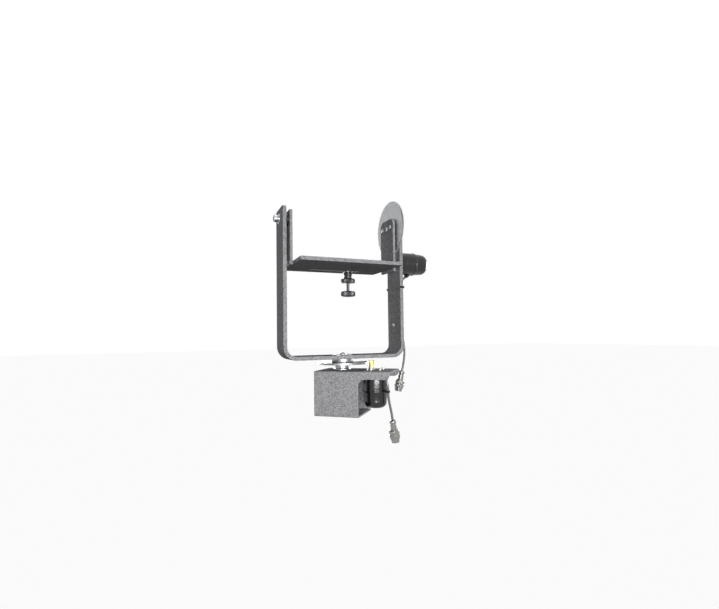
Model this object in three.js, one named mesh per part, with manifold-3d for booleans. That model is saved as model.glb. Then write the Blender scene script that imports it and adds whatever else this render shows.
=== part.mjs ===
// Remote pan tilt head: a motor driven head that pans and tilts a small camera.
// Millimetres, +Z up, front towards -Y. The tilt axis runs along X and the pan axis is Z.
// The origin is on the pan axis in the plane of the base's underside, at the mouth of its socket.
// The yoke stands square to the axes, and the base is turned under it as it stands in use.
import * as THREE from "three";
import { mergeVertices } from "three/addons/utils/BufferGeometryUtils.js";
import Module from "manifold-3d";

// Clearances
const seatGap = 0.3; // between two pieces that rest on each other
const boreGap = 0.3; // round a pin, screw or sleeve in its hole
const cutOverrun = 2; // how far a cut runs past the faces that it opens

// Base: a square tube with a motor bay cut out of its lower right part
const tubeSide = 76.2;
const tubeWall = 3.2;
const tubeOuterRadius = 2.4;
const tubeInnerRadius = 1.2;
const baseLeft = 38.5; // pan axis to the tube's left end
const columnRight = 40; // pan axis to the motor bay
const baseRight = 93.5; // pan axis to the end of the top wall
const lipHeight = 13.2;
const bayFilletRadius = 12;
const lipEndRadius = 9.5;
const baseTurn = 40; // degrees that the yoke stands turned from the base

// Socket for the stand's screw
const socketRadius = 5.1;
const mountNutFlats = 14.3;
const mountNutHeight = 8;
const mountNutBoreRadius = 4.2;

// Pan bearing and shaft
const panShaftRadius = 6.35;
const panShaftTail = 3.8; // shaft below its collar
const bearingFlangeRadius = 16;
const bearingFlangeHeight = 2.4;
const bearingSleeveRadius = 11;
const bearingSleeveLength = 19; // flange top to the sleeve's lower end
const bearingNutRadius = 17;
const bearingNutHeight = 6;
const collarRadius = 13;
const collarHeight = 9;
const collarScrewRadius = 2.2;
const panHubRadius = 19;
const panHubHeight = 5.4;
const panHubScrewCircle = 15; // radius of the screws' circle
const panHubScrewCount = 4;
const panBoltHeadRadius = 5.2;
const panBoltHeadHeight = 4.3;
const panBoltRadius = 3;
const panBoltLength = 20;

// Gears
const toothModule = 0.8;
const pressureAngle = 20; // degrees
const pinionTeeth = 16;
const panGearTeeth = 116;
const tiltGearTeeth = 126;
const toothBacklash = 0.12; // taken off each tooth's thickness
const addendumShare = 1; // of the module
const dedendumShare = 1.25; // of the module
const gearThickness = 3.2;
const gearFlankSteps = 1;
const pinionFlankSteps = 1;
const panGearBossRadius = 13;
const panGearBossHeight = 7.5;
const tiltGearSpacerRadius = 21;
const tiltGearSpacerHeight = 0.9;
const tiltGearHubHeight = 1;

// Pinions
const panPinionFace = 7.2;
const panPinionRise = 8.8; // wall's face to the teeth
const tiltPinionFace = 4.8;
const tiltPinionRise = 2.9;
const pinionHubRadius = 4.8;
const pinionTail = 0.6; // shaft stops this far below the pinion's end

// Gear motors, the same on both axes
const gearboxRadius = 18.5;
const gearboxLength = 26;
const canRadius = 17.2;
const canLength = 28;
const shaftOffset = 7; // output shaft to the gearbox's centre
const motorBossRadius = 6;
const motorBossLength = 6;
const motorShaftRadius = 3;
const motorShaftDepth = 9; // shaft inside the gearbox
const motorScrewCircle = 15.5; // radius of the screws' circle
const motorScrewCount = 4;
const motorScrewGrip = 4; // thread in the gearbox

// Boots over the motors
const bootWall = 2.2;
const bootEndWall = 6;
const bootStep = 37; // open end to the ridge
const bootRidgeRadius = 21.5;
const bootRidgeHeight = 1.6;
const bootTailRadius = 20.2;
const bootEndRadius = 19.2;
const bootEndRound = 9;

// Yoke: a flat bar bent to a U
const yokeWidth = 221;
const yokeHeight = 255.4;
const barWidth = 50.8;
const barThickness = 6.35;
const bendInnerRadius = 16;
const armEndRadius = 5;
const pivotDrop = 17.7; // tilt axis below the arms' ends

// Tilt pivots
const pivotShankRadius = 4;
const pivotHeadRadius = 6.5;
const pivotHeadHeight = 8;
const pivotFlangeRadius = 8.5;
const pivotFlangeHeight = 1.6;
const pivotKeyFlats = 6;
const pivotKeyDepth = 4;
const bushSleeveRadius = 7;
const bushCollarRadius = 11;
const rightBushCollarLength = 2.35; // between the tilt gear's hub and the arm

// Cradle: a tray between two uprights
const trayDepth = 122.8;
const trayThickness = 6.35;
const trayCornerRadius = 3;
const trayDrop = 71.25; // tilt axis to the tray's top
const slotLength = 90; // between the slot's end centres
const slotWidth = 7;
const slotOffset = 34; // slot behind the tilt axis
const uprightThickness = 4.8;
const uprightRise = 16; // uprights above the tilt axis
const leftUprightWidth = 25.4;
const leftUprightCorner = 4;
const rightUprightWidth = 50.8;
const rightUprightCorner = 12;
const rightUprightTail = 4.4; // below the tray's underside
const leftScrewSpread = 7; // tilt axis plane to each screw
const rightScrewSpread = 16;
const gearScrewSpread = 16;

// Camera screw in the slot
const cameraScrewPlace = 25.7; // along X, at rest
const cameraScrewRadius = 3.175;
const cameraScrewRise = 5.5; // thread above the tray
const cameraScrewStem = 15.2; // bare stem between wheel and knob
const slotWasherRadius = 9;
const slotWasherHeight = 1.2;
const wheelHubRadius = 7.75;
const wheelHubHeight = 12.2;
const wheelRadius = 13.2;
const wheelHeight = 8.3;
const knobRadius = 13.5;
const knobHeight = 9.6;
const knobSocketDepth = 6;
const gripFlutes = 20;
const gripFluteDepth = 0.7;

// Small screws: threads are left smooth
const smallScrewRadius = 1.5;
const smallHeadRadius = 2.75;
const smallHeadHeight = 3;
const mediumScrewRadius = 2;
const mediumHeadRadius = 3.6;
const mediumHeadHeight = 2.2;
const sunkHeadHeight = 1.8; // of a countersunk head
const trayScrewDepth = 12;

// Leads
const cableRadius = 2.1;
const glandMouthRadius = 3.1;
const glandRootRadius = 4.6;
const glandLength = 11;
const tieHeight = 3.6;
const tieThickness = 1.2;
const tieSlack = 0.8; // round the cable
const tieHeadSide = 4.6;
const tieSweep = 1; // radians each way that the arm's tie goes round the cable
const tieSweepSteps = 4;
const panTieShare = 0.28; // of the pan lead's length, from its gland
const armTieDrop = 53.8; // tilt motor's shaft to the tie
const clipRise = 35.95; // end of the arm's bend to the clip
const clipEyeRadius = 3.9;
const clipHeight = 10;
const clipThickness = 1.2;
const clipTabEnd = 5; // tab's far edge beyond the screw
const clipHeadRadius = 3.2;
const clipHeadHeight = 1.9;

// Round plugs on the leads
const plugClampRadius = 6.1;
const plugClampLength = 5;
const plugSleeveRadius = 5.2;
const plugSleeveLength = 14;
const plugBarrelRadius = 6.9;
const plugBarrelWall = 1;
const plugBarrelDepth = 1.2;
const plugBarrelShow = 5.5; // barrel beyond the nut
const plugNutRadius = 8.9;
const plugNutLength = 16.5;
const plugNutLip = 1.7;
const plugNutFlutes = 16;
const plugNutFluteDepth = 0.5;

// How finely the round faces are cut
const roundSides = 22;
const mediumSides = 14;
const smallSides = 8;
const arcSteps = 4;
const cornerSteps = 2;
const bootEndSteps = 3;
const cableSides = 8;
const cableStep = 10.5; // along the cable
const cableSamples = 400; // when a place on the cable is looked for

// Where each lead runs, from its gland to its plug: chosen by hand.
// The pan lead is measured from the pan motor's shaft at the base's top.
const panLeadPoints = [
  [29.4, -13.1, -16.0], [30.9, -13.4, -20.4], [31.8, -13.4, -24.9], [32.0, -13.2, -29.5],
  [31.9, -12.6, -34.1], [31.8, -11.8, -38.6], [31.9, -10.7, -43.1], [32.1, -9.6, -47.6],
  [32.5, -8.4, -52.0], [33.0, -7.1, -56.4], [33.6, -5.7, -60.8], [34.1, -4.5, -65.2],
  [34.7, -3.4, -69.7], [35.3, -2.4, -74.1], [35.7, -1.6, -78.7], [36.1, -0.9, -83.2],
];
// The tilt lead comes to the arm, measured from its straight run and the tilt motor's shaft,
const tiltLeadTop = [
  [12.9, 6.0, -32.2], [8.3, 4.8, -36.5], [4.6, 3.4, -42.3], [2.3, 2.1, -49.2],
  [0.9, 1.1, -57.0], [0.2, 0.4, -65.8],
];
// runs straight down the arm's outer face,
const leadRunSetback = 8; // in front of the arm's middle
const leadRunSteps = 6;
// and hangs out to its plug, measured from its straight run and the clip.
const tiltLeadTail = [
  [0.0, 0.0, -5.2], [1.0, 0.0, -15.4], [3.2, 0.2, -25.4], [5.1, 0.7, -35.4],
  [6.3, 1.6, -45.4], [6.7, 2.9, -55.4], [6.3, 4.4, -65.2], [5.3, 5.9, -75.0],
  [3.8, 7.2, -84.2],
];

// Heights that follow from the stack on the pan axis
const bearingTopZ = tubeSide + seatGap + bearingFlangeHeight;
const panGearZ = bearingTopZ + seatGap + panGearBossHeight;
const panHubZ = panGearZ + gearThickness + seatGap;
const barZ = panHubZ + panHubHeight + seatGap;
const barTopZ = barZ + barThickness;
const armTopZ = barZ + yokeHeight;
const tiltZ = armTopZ - pivotDrop;
const armOuterX = yokeWidth / 2;
const armInnerX = armOuterX - barThickness;
const panCentres = (toothModule * (pinionTeeth + panGearTeeth)) / 2;
const tiltCentres = (toothModule * (pinionTeeth + tiltGearTeeth)) / 2;
const tiltMotorZ = tiltZ - tiltCentres;

// Places that follow from the stack on the tilt axis, from the right arm in to the tray
const rightCollarEndX = armInnerX - seatGap - rightBushCollarLength;
const tiltHubEndX = rightCollarEndX - seatGap;
const tiltGearInnerX = tiltHubEndX - tiltGearHubHeight - gearThickness;
const uprightOuterX = tiltGearInnerX - tiltGearSpacerHeight - seatGap;
const uprightInnerX = uprightOuterX - uprightThickness;
const trayLength = 2 * (uprightInnerX - seatGap);

// Places of the tilt lead's clip and tie on the arm
const armTieZ = tiltMotorZ - armTieDrop;
const clipZ = barTopZ + bendInnerRadius + clipRise;
const leadRunX = armOuterX + seatGap + clipEyeRadius;

// Finishes
const paint = new THREE.MeshStandardMaterial({ color: 0x717276, roughness: 0.45, metalness: 0.4 });
const steel = new THREE.MeshStandardMaterial({ color: 0xb9bbbd, roughness: 0.3, metalness: 1 });
const aluminium = new THREE.MeshStandardMaterial({ color: 0xc9cbcd, roughness: 0.35, metalness: 1 });
const brass = new THREE.MeshStandardMaterial({ color: 0xcdbb74, roughness: 0.3, metalness: 1 });
const nickel = new THREE.MeshStandardMaterial({ color: 0xd2d2cf, roughness: 0.25, metalness: 1 });
const blackMetal = new THREE.MeshStandardMaterial({ color: 0x1d1d1f, roughness: 0.35, metalness: 0.4 });
const bootRubber = new THREE.MeshStandardMaterial({ color: 0x161617, roughness: 0.2, metalness: 0 });
const greyVinyl = new THREE.MeshStandardMaterial({ color: 0x8f9090, roughness: 0.5, metalness: 0 });
const blackNylon = new THREE.MeshStandardMaterial({ color: 0x202021, roughness: 0.5, metalness: 0 });

const wasm = await Module();
wasm.setup();

// Solids and booleans

// Six times the volume inside a closed triangle mesh, negative when its faces point inwards.
function sixfoldVolume(position, index) {
  const [a, b, c] = [new THREE.Vector3(), new THREE.Vector3(), new THREE.Vector3()];
  let sum = 0;
  for (let i = 0; i < index.length; i += 3) {
    a.fromBufferAttribute(position, index[i]);
    b.fromBufferAttribute(position, index[i + 1]);
    c.fromBufferAttribute(position, index[i + 2]);
    sum += a.dot(b.cross(c));
  }
  return sum;
}

// A closed three.js geometry as a solid that can be joined and cut.
function solid(geometry) {
  const bare = new THREE.BufferGeometry();
  const source = geometry.index ? geometry.toNonIndexed() : geometry;
  bare.setAttribute("position", source.getAttribute("position"));
  const merged = mergeVertices(bare);
  const triangles = [];
  for (let i = 0; i < merged.index.count; i += 3) {
    const [a, b, c] = [0, 1, 2].map((k) => merged.index.getX(i + k));
    if (a !== b && b !== c && c !== a) triangles.push(a, b, c);
  }
  if (sixfoldVolume(merged.attributes.position, triangles) < 0) triangles.reverse();
  const vertProperties = merged.attributes.position.array;
  return new wasm.Manifold(
    new wasm.Mesh({ numProp: 3, vertProperties, triVerts: new Uint32Array(triangles) }),
  );
}

// A solid as a flat shaded three.js geometry.
function geometryOf(manifold) {
  const mesh = manifold.getMesh();
  const geometry = new THREE.BufferGeometry();
  geometry.setAttribute("position", new THREE.BufferAttribute(mesh.vertProperties, mesh.numProp));
  geometry.setIndex(new THREE.BufferAttribute(mesh.triVerts, 1));
  const flat = geometry.toNonIndexed();
  flat.computeVertexNormals();
  return flat;
}

function joined(first, ...others) {
  return others.reduce((sum, other) => sum.add(other), first);
}

function cut(body, ...cutters) {
  return cutters.reduce((rest, cutter) => rest.subtract(cutter), body);
}

// Makes the named mesh and puts it in its group.
function addPiece(group, name, body, material) {
  const mesh = new THREE.Mesh(geometryOf(body), material);
  mesh.name = name;
  group.add(mesh);
  return mesh;
}

// Basic forms

// A solid turned round Z from a profile of [radius, height] points.
function turned(profile, sides = roundSides) {
  const points = profile.map(([radius, height]) => new THREE.Vector2(radius, height));
  return solid(new THREE.LatheGeometry(points, sides).rotateX(Math.PI / 2));
}

// A round rod along Z between two heights.
function rod(radius, fromZ, toZ, sides = roundSides) {
  return turned([[0, fromZ], [radius, fromZ], [radius, toZ], [0, toZ]], sides);
}

// A ring along Z between two heights.
function ring(outer, inner, fromZ, toZ, sides = roundSides) {
  const profile = [[inner, fromZ], [outer, fromZ], [outer, toZ], [inner, toZ], [inner, fromZ]];
  return turned(profile, sides);
}

// An outline extruded up Z between two heights.
function prism(shape, fromZ, toZ, curveSegments = arcSteps) {
  const options = { depth: toZ - fromZ, bevelEnabled: false, curveSegments };
  return solid(new THREE.ExtrudeGeometry(shape, options).translate(0, 0, fromZ));
}

// A rectangle centred on its origin with rounded corners.
function roundedRectangle(width, height, radius, ShapeClass = THREE.Shape) {
  const [x, y] = [width / 2 - radius, height / 2 - radius];
  const shape = new ShapeClass();
  shape.moveTo(x, -height / 2);
  shape.absarc(x, -y, radius, -Math.PI / 2, 0);
  shape.absarc(x, y, radius, 0, Math.PI / 2);
  shape.absarc(-x, y, radius, Math.PI / 2, Math.PI);
  shape.absarc(-x, -y, radius, Math.PI, 1.5 * Math.PI);
  return shape;
}

function polygon(points) {
  return new THREE.Shape(points.map(([x, y]) => new THREE.Vector2(x, y)));
}

// A hexagon whose opposite flats are the given distance apart.
function hexagon(flats) {
  const radius = flats / 2 / Math.cos(Math.PI / 6);
  const corners = [0, 1, 2, 3, 4, 5].map((k) => (k * Math.PI) / 3);
  return polygon(corners.map((angle) => [radius * Math.cos(angle), radius * Math.sin(angle)]));
}

// A round outline with shallow grooves for the fingers.
function fluted(radius, depth, count) {
  const points = [];
  for (let k = 0; k < count; k += 1) {
    for (const [halfSteps, size] of [[0, radius], [1, radius - depth]]) {
      const angle = ((2 * k + halfSteps) * Math.PI) / count;
      points.push([size * Math.cos(angle), size * Math.sin(angle)]);
    }
  }
  return polygon(points);
}

// The places of count things evenly round a circle, the first at the given angle.
function around(count, radius, firstAngle) {
  const places = [];
  for (let k = 0; k < count; k += 1) {
    const angle = firstAngle + (k * 2 * Math.PI) / count;
    places.push([radius * Math.cos(angle), radius * Math.sin(angle)]);
  }
  return places;
}

const quarter = Math.PI / 2;

// Turns a solid's X to -Z and its Z to -X: the pose of what turns on the tilt axis.
const sidewaysMatrix = new THREE.Matrix4().makeBasis(
  new THREE.Vector3(0, 0, -1),
  new THREE.Vector3(0, -1, 0),
  new THREE.Vector3(-1, 0, 0),
);

function moved(body, matrix) {
  return body.transform(matrix.elements);
}

// Gear teeth

const degrees = (angle) => (angle * Math.PI) / 180;
const involute = (angle) => Math.tan(angle) - angle;

// Outline of a gear with involute flanks, one tooth centred on +X.
function toothedOutline(teeth, flankSteps) {
  const pitchRadius = (toothModule * teeth) / 2;
  const baseRadius = pitchRadius * Math.cos(degrees(pressureAngle));
  const tipRadius = pitchRadius + addendumShare * toothModule;
  const rootRadius = pitchRadius - dedendumShare * toothModule;
  const toothThickness = (Math.PI * toothModule) / 2 - toothBacklash;
  const pitchHalfAngle = toothThickness / (2 * pitchRadius);
  const halfAngle = (radius) =>
    pitchHalfAngle + involute(degrees(pressureAngle)) - involute(Math.acos(baseRadius / radius));
  const flankStart = Math.max(rootRadius, baseRadius);
  const flank = [];
  if (rootRadius < baseRadius) flank.push([rootRadius, halfAngle(baseRadius)]);
  for (let step = 0; step <= flankSteps; step += 1) {
    const radius = flankStart + ((tipRadius - flankStart) * step) / flankSteps;
    flank.push([radius, halfAngle(radius)]);
  }
  const points = [];
  for (let tooth = 0; tooth < teeth; tooth += 1) {
    const middle = (tooth * 2 * Math.PI) / teeth;
    const rising = flank.map(([radius, half]) => [radius, middle - half]);
    const falling = flank.map(([radius, half]) => [radius, middle + half]).reverse();
    for (const [radius, angle] of [...rising, ...falling]) {
      points.push([radius * Math.cos(angle), radius * Math.sin(angle)]);
    }
  }
  return polygon(points);
}

// Screws: head up along +Z from the origin, shank down

function screw(headRadius, headHeight, shankRadius, shankLength, sides = smallSides) {
  return turned([
    [0, -shankLength],
    [shankRadius, -shankLength],
    [shankRadius, 0],
    [headRadius, 0],
    [headRadius, headHeight],
    [0, headHeight],
  ], sides);
}

const smallScrew = (length) => screw(smallHeadRadius, smallHeadHeight, smallScrewRadius, length);
const mediumScrew = (length) =>
  screw(mediumHeadRadius, mediumHeadHeight, mediumScrewRadius, length);

// A countersunk screw, its flat head's top at the origin.
function sunkScrew(length) {
  return turned([
    [0, -length],
    [mediumScrewRadius, -length],
    [mediumScrewRadius, -sunkHeadHeight],
    [mediumHeadRadius, 0],
    [0, 0],
  ], smallSides);
}

// The cone that a countersunk head sits in, its mouth at the given height.
function sunkSeat([x, y], topZ) {
  const slope = (mediumHeadRadius - mediumScrewRadius) / sunkHeadHeight;
  const gap = boreGap * Math.hypot(1, slope);
  const [root, mouth] = [mediumScrewRadius + gap, mediumHeadRadius + gap];
  const seat = turned([
    [0, topZ - sunkHeadHeight],
    [root, topZ - sunkHeadHeight],
    [mouth, topZ],
    [mouth, topZ + cutOverrun],
    [0, topZ + cutOverrun],
  ], smallSides);
  return seat.translate([x, y, 0]);
}

// A through hole for a screw, along Z past both faces of a wall.
function screwHole(radius, [x, y], fromZ, toZ) {
  const hole = rod(radius + boreGap, fromZ - cutOverrun, toZ + cutOverrun, smallSides);
  return hole.translate([x, y, 0]);
}

// Gear motor, in a frame whose Z is the output shaft and points through the wall.
// The wall's near face is at zero, and +X points away from the gear that it drives.

const motorScrewPlaces = around(motorScrewCount, motorScrewCircle, quarter / 2)
  .map(([x, y]) => [x + shaftOffset, y]);

// Everything that the wall is drilled with to take the motor.
function motorHoles(wall) {
  const boss = rod(motorBossRadius + boreGap, -cutOverrun, wall + cutOverrun, mediumSides);
  const screws = motorScrewPlaces.map((place) => screwHole(smallScrewRadius, place, 0, wall));
  return joined(boss, ...screws);
}

function gearMotor() {
  const face = -seatGap;
  const gearbox = rod(gearboxRadius, face - gearboxLength, face, mediumSides)
    .translate([shaftOffset, 0, 0]);
  const canEnd = face - gearboxLength - canLength;
  const can = rod(canRadius, canEnd, face - cutOverrun, mediumSides)
    .translate([shaftOffset, 0, 0]);
  const boss = rod(motorBossRadius, face - cutOverrun, face + motorBossLength, mediumSides);
  const top = face + motorBossLength;
  const bore = rod(motorShaftRadius + boreGap, face - motorShaftDepth, top + cutOverrun, smallSides);
  const taps = motorScrewPlaces.map((place) =>
    screwHole(smallScrewRadius, place, face - motorScrewGrip + cutOverrun, face));
  return cut(joined(gearbox, can, boss), bore, ...taps);
}

function motorShaft(length) {
  return rod(motorShaftRadius, -motorShaftDepth, length, smallSides);
}

const bootInner = gearboxRadius + boreGap;
const bootOuter = bootInner + bootWall;

// Rubber boot: open at the wall, stepped in after the gearbox, round at its closed end.
function motorBoot() {
  const insideEnd = -(seatGap + gearboxLength + canLength + seatGap);
  const end = insideEnd - bootEndWall;
  const profile = [[0, insideEnd], [canRadius + boreGap, insideEnd]];
  profile.push([canRadius + boreGap, -(gearboxLength + 2 * seatGap)]);
  profile.push([bootInner, -(gearboxLength + 2 * seatGap)]);
  profile.push([bootInner, -seatGap], [bootOuter, -seatGap]);
  profile.push([bootOuter, -bootStep], [bootRidgeRadius, -bootStep]);
  profile.push([bootRidgeRadius, -bootStep - bootRidgeHeight]);
  profile.push([bootTailRadius, -bootStep - bootRidgeHeight]);
  for (let step = 0; step <= bootEndSteps; step += 1) {
    const angle = (step * quarter) / bootEndSteps;
    const radius = bootEndRadius - bootEndRound + bootEndRound * Math.cos(angle);
    profile.push([radius, end + bootEndRound - bootEndRound * Math.sin(angle)]);
  }
  profile.push([0, end]);
  return turned(profile, roundSides).translate([shaftOffset, 0, 0]);
}

function pinion(face, rise) {
  const teeth = prism(toothedOutline(pinionTeeth, pinionFlankSteps), rise, rise + face)
    .rotate([0, 0, 180 / pinionTeeth]);
  const hubStart = motorBossLength;
  const hub = rod(pinionHubRadius, hubStart, rise + cutOverrun, mediumSides);
  const bore = rod(motorShaftRadius + boreGap, -cutOverrun, rise + face + cutOverrun, smallSides);
  return cut(joined(teeth, hub), bore);
}

// The still pieces of one motor go in its wall's group, the turning ones in their own.
function addMotor(stillGroup, spinGroup, prefix, wall, pinionFace, pinionRise) {
  addPiece(stillGroup, `${prefix}_gear_motor`, gearMotor(), steel);
  addPiece(stillGroup, `${prefix}_motor_boot`, motorBoot(), bootRubber);
  motorScrewPlaces.forEach(([x, y], k) => {
    const fastener = smallScrew(wall + seatGap + motorScrewGrip);
    const mesh = addPiece(stillGroup, `${prefix}_motor_screw_${k + 1}`, fastener, steel);
    mesh.position.set(x, y, wall + seatGap);
  });
  const rise = wall + pinionRise;
  addPiece(spinGroup, `${prefix}_motor_shaft`, motorShaft(rise + pinionFace - pinionTail), steel);
  addPiece(spinGroup, `${prefix}_pinion`, pinion(pinionFace, rise), brass);
}

// Leads: gland, cable, ties, clip and plug

const vector = ([x, y, z]) => new THREE.Vector3(x, y, z);

function cablePath(route) {
  return new THREE.CatmullRomCurve3(route.map(vector), false, "centripetal");
}

// A lead's route from points that are measured from a place.
function routeFrom([x, y, z], points) {
  return points.map(([dx, dy, dz]) => [x + dx, y + dy, z + dz]);
}

// The tilt lead's route: to the arm, straight down it, and out to the plug.
function tiltLeadRoute() {
  const top = routeFrom([leadRunX, -leadRunSetback, tiltMotorZ], tiltLeadTop);
  const tail = routeFrom([leadRunX, -leadRunSetback, clipZ], tiltLeadTail);
  const [highZ, lowZ] = [top.at(-1)[2], tail[0][2]];
  const run = [];
  for (let step = 1; step < leadRunSteps; step += 1) {
    run.push([leadRunX, -leadRunSetback, highZ + ((lowZ - highZ) * step) / leadRunSteps]);
  }
  return [...top, ...run, ...tail];
}

const panCableRoute = routeFrom([panCentres, 0, tubeSide], panLeadPoints);
const tiltCableRoute = tiltLeadRoute();

// A frame at a point whose Z looks along a direction.
function frameAlong(point, direction) {
  const turn = new THREE.Quaternion().setFromUnitVectors(new THREE.Vector3(0, 0, 1), direction);
  return new THREE.Matrix4().compose(point, turn, new THREE.Vector3(1, 1, 1));
}

function cableTube(route) {
  const section = polygon(around(cableSides, cableRadius, Math.PI / cableSides));
  const steps = Math.round(cablePath(route).getLength() / cableStep);
  const options = { extrudePath: cablePath(route), steps, bevelEnabled: false };
  return solid(new THREE.ExtrudeGeometry(section, options));
}

// Rubber nozzle that the cable leaves the boot by, shaped to the boot behind it.
function gland(route, bootCore) {
  const path = cablePath(route);
  const body = turned([
    [0, -glandLength],
    [glandRootRadius, -glandLength],
    [glandRootRadius, -glandLength / 2],
    [glandMouthRadius, -seatGap],
    [0, -seatGap],
  ], mediumSides);
  return cut(moved(body, frameAlong(path.getPoint(0), path.getTangent(0))), bootCore);
}

// A nylon tie round the cable alone, with its head.
function cableTie(route, share) {
  const path = cablePath(route);
  const inner = cableRadius + tieSlack;
  const [low, high] = [-tieHeight / 2, tieHeight / 2];
  const band = rod(inner + tieThickness, low, high, mediumSides);
  const outline = roundedRectangle(tieHeadSide, tieHeadSide, tieThickness / 2);
  const head = prism(outline, low, high, cornerSteps)
    .translate([-(inner + tieHeadSide / 2), 0, 0]);
  const core = rod(inner, -tieHeight, tieHeight, mediumSides);
  const frame = frameAlong(path.getPointAt(share), path.getTangentAt(share));
  return moved(cut(joined(band, head), core), frame);
}

// Where the tilt cable crosses a height.
function cableAtHeight(route, height) {
  const points = cablePath(route).getPoints(cableSamples);
  return points.reduce((best, point) =>
    Math.abs(point.z - height) < Math.abs(best.z - height) ? point : best);
}

// A nylon tie round the yoke's arm and the cable beside it.
function armTie() {
  const cable = cableAtHeight(tiltCableRoute, armTieZ);
  const outline = (extra) => {
    const [inX, outX] = [armInnerX - seatGap - extra, armOuterX + seatGap + extra];
    const half = barWidth / 2 + seatGap + extra;
    const radius = cableRadius + tieSlack + extra;
    const points = [[inX, -half], [outX, -half]];
    for (let step = 0; step <= tieSweepSteps; step += 1) {
      const angle = tieSweep * ((2 * step) / tieSweepSteps - 1);
      points.push([cable.x + radius * Math.cos(angle), cable.y + radius * Math.sin(angle)]);
    }
    points.push([outX, half], [inX, half]);
    return polygon(points);
  };
  const [low, high] = [armTieZ - tieHeight / 2, armTieZ + tieHeight / 2];
  const inside = prism(outline(0), low - cutOverrun, high + cutOverrun);
  return cut(prism(outline(tieThickness), low, high), inside);
}

// A strap that holds the cable to the arm's outer face, screwed through the arm.
function cableClip() {
  const [low, high] = [clipZ - clipHeight / 2, clipZ + clipHeight / 2];
  const faceX = armOuterX + seatGap;
  const tab = prism(polygon([
    [faceX, -leadRunSetback],
    [faceX + clipThickness, -leadRunSetback],
    [faceX + clipThickness, clipTabEnd],
    [faceX, clipTabEnd],
  ]), low, high);
  const bore = cableRadius + boreGap;
  const place = [leadRunX, -leadRunSetback, 0];
  const eye = rod(clipEyeRadius, low, high, mediumSides).translate(place);
  const core = rod(bore, low - cutOverrun, high + cutOverrun, mediumSides).translate(place);
  const hole = moved(rod(smallScrewRadius + boreGap, -clipHeight, clipHeight, smallSides),
    new THREE.Matrix4().makeRotationY(quarter).setPosition(faceX, 0, clipZ));
  return cut(joined(tab, eye), core, hole);
}

const plugNutStart = -(plugClampLength + plugSleeveLength) + plugNutLip;
const plugBarrelStart = plugNutStart - plugNutLip - seatGap;
const plugEnd = plugNutStart - plugNutLength - plugBarrelShow;

// Metal plug body: cable clamp, sleeve, and the barrel that its nut turns on.
function plugBody() {
  const clampEnd = -plugClampLength;
  const barrelBore = plugBarrelRadius - plugBarrelWall;
  return turned([
    [0, 0],
    [plugClampRadius, 0],
    [plugClampRadius, clampEnd],
    [plugSleeveRadius, clampEnd],
    [plugSleeveRadius, plugBarrelStart],
    [plugBarrelRadius, plugBarrelStart],
    [plugBarrelRadius, plugEnd],
    [barrelBore, plugEnd],
    [barrelBore, plugEnd + plugBarrelDepth],
    [0, plugEnd + plugBarrelDepth],
  ], mediumSides);
}

// Coupling nut with finger grooves, held on the barrel by its inner lip.
function plugNut() {
  const end = plugNutStart - plugNutLength;
  const body = prism(fluted(plugNutRadius, plugNutFluteDepth, plugNutFlutes), end, plugNutStart);
  const lipBore = rod(plugSleeveRadius + boreGap, end, plugNutStart + cutOverrun, mediumSides);
  const bore = rod(plugBarrelRadius + boreGap, end - cutOverrun, plugNutStart - plugNutLip,
    mediumSides);
  return cut(body, lipBore, bore);
}

// Hangs a plug on the end of a lead, its own -Z along the lead.
function addPlug(group, nutGroup, prefix, route) {
  const path = cablePath(route);
  const direction = path.getTangent(1).negate();
  const start = path.getPoint(1).addScaledVector(direction, -seatGap);
  const frame = frameAlong(start, direction);
  addPiece(group, `${prefix}_plug_body`, moved(plugBody(), frame), nickel);
  addPiece(nutGroup, `${prefix}_plug_nut`, moved(plugNut(), frame), nickel);
}

// Base

const bayTop = tubeSide - lipHeight;

// The motor bay's outline seen from the front, with a fillet above and a rounded lip end.
function bayOutline() {
  const bay = new THREE.Shape();
  bay.moveTo(columnRight, -cutOverrun);
  bay.lineTo(columnRight, bayTop - bayFilletRadius);
  bay.absarc(columnRight + bayFilletRadius, bayTop - bayFilletRadius, bayFilletRadius,
    Math.PI, quarter, true);
  bay.lineTo(baseRight - lipEndRadius, bayTop);
  bay.absarc(baseRight - lipEndRadius, bayTop + lipEndRadius, lipEndRadius, -quarter, 0, false);
  bay.lineTo(baseRight + cutOverrun, bayTop + lipEndRadius);
  bay.lineTo(baseRight + cutOverrun, -cutOverrun);
  return bay;
}

function baseHousing() {
  const section = roundedRectangle(tubeSide, tubeSide, tubeOuterRadius);
  const inside = tubeSide - 2 * tubeWall;
  section.holes.push(roundedRectangle(inside, inside, tubeInnerRadius, THREE.Path));
  const alongX = new THREE.Matrix4().makeRotationY(quarter).setPosition(-baseLeft, 0, tubeSide / 2);
  const tube = moved(prism(section, 0, baseLeft + baseRight, cornerSteps), alongX);
  const acrossY = new THREE.Matrix4().makeRotationX(quarter);
  const reach = tubeSide / 2 + cutOverrun;
  const bay = moved(prism(bayOutline(), -reach, reach), acrossY);
  const bearingHole = rod(bearingSleeveRadius + boreGap, tubeSide - tubeWall - cutOverrun,
    tubeSide + cutOverrun, mediumSides);
  const socket = rod(socketRadius, -cutOverrun, tubeWall + cutOverrun, mediumSides);
  const motor = motorHoles(tubeWall).translate([panCentres, 0, tubeSide - tubeWall]);
  return cut(tube, bay, bearingHole, socket, motor);
}

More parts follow.
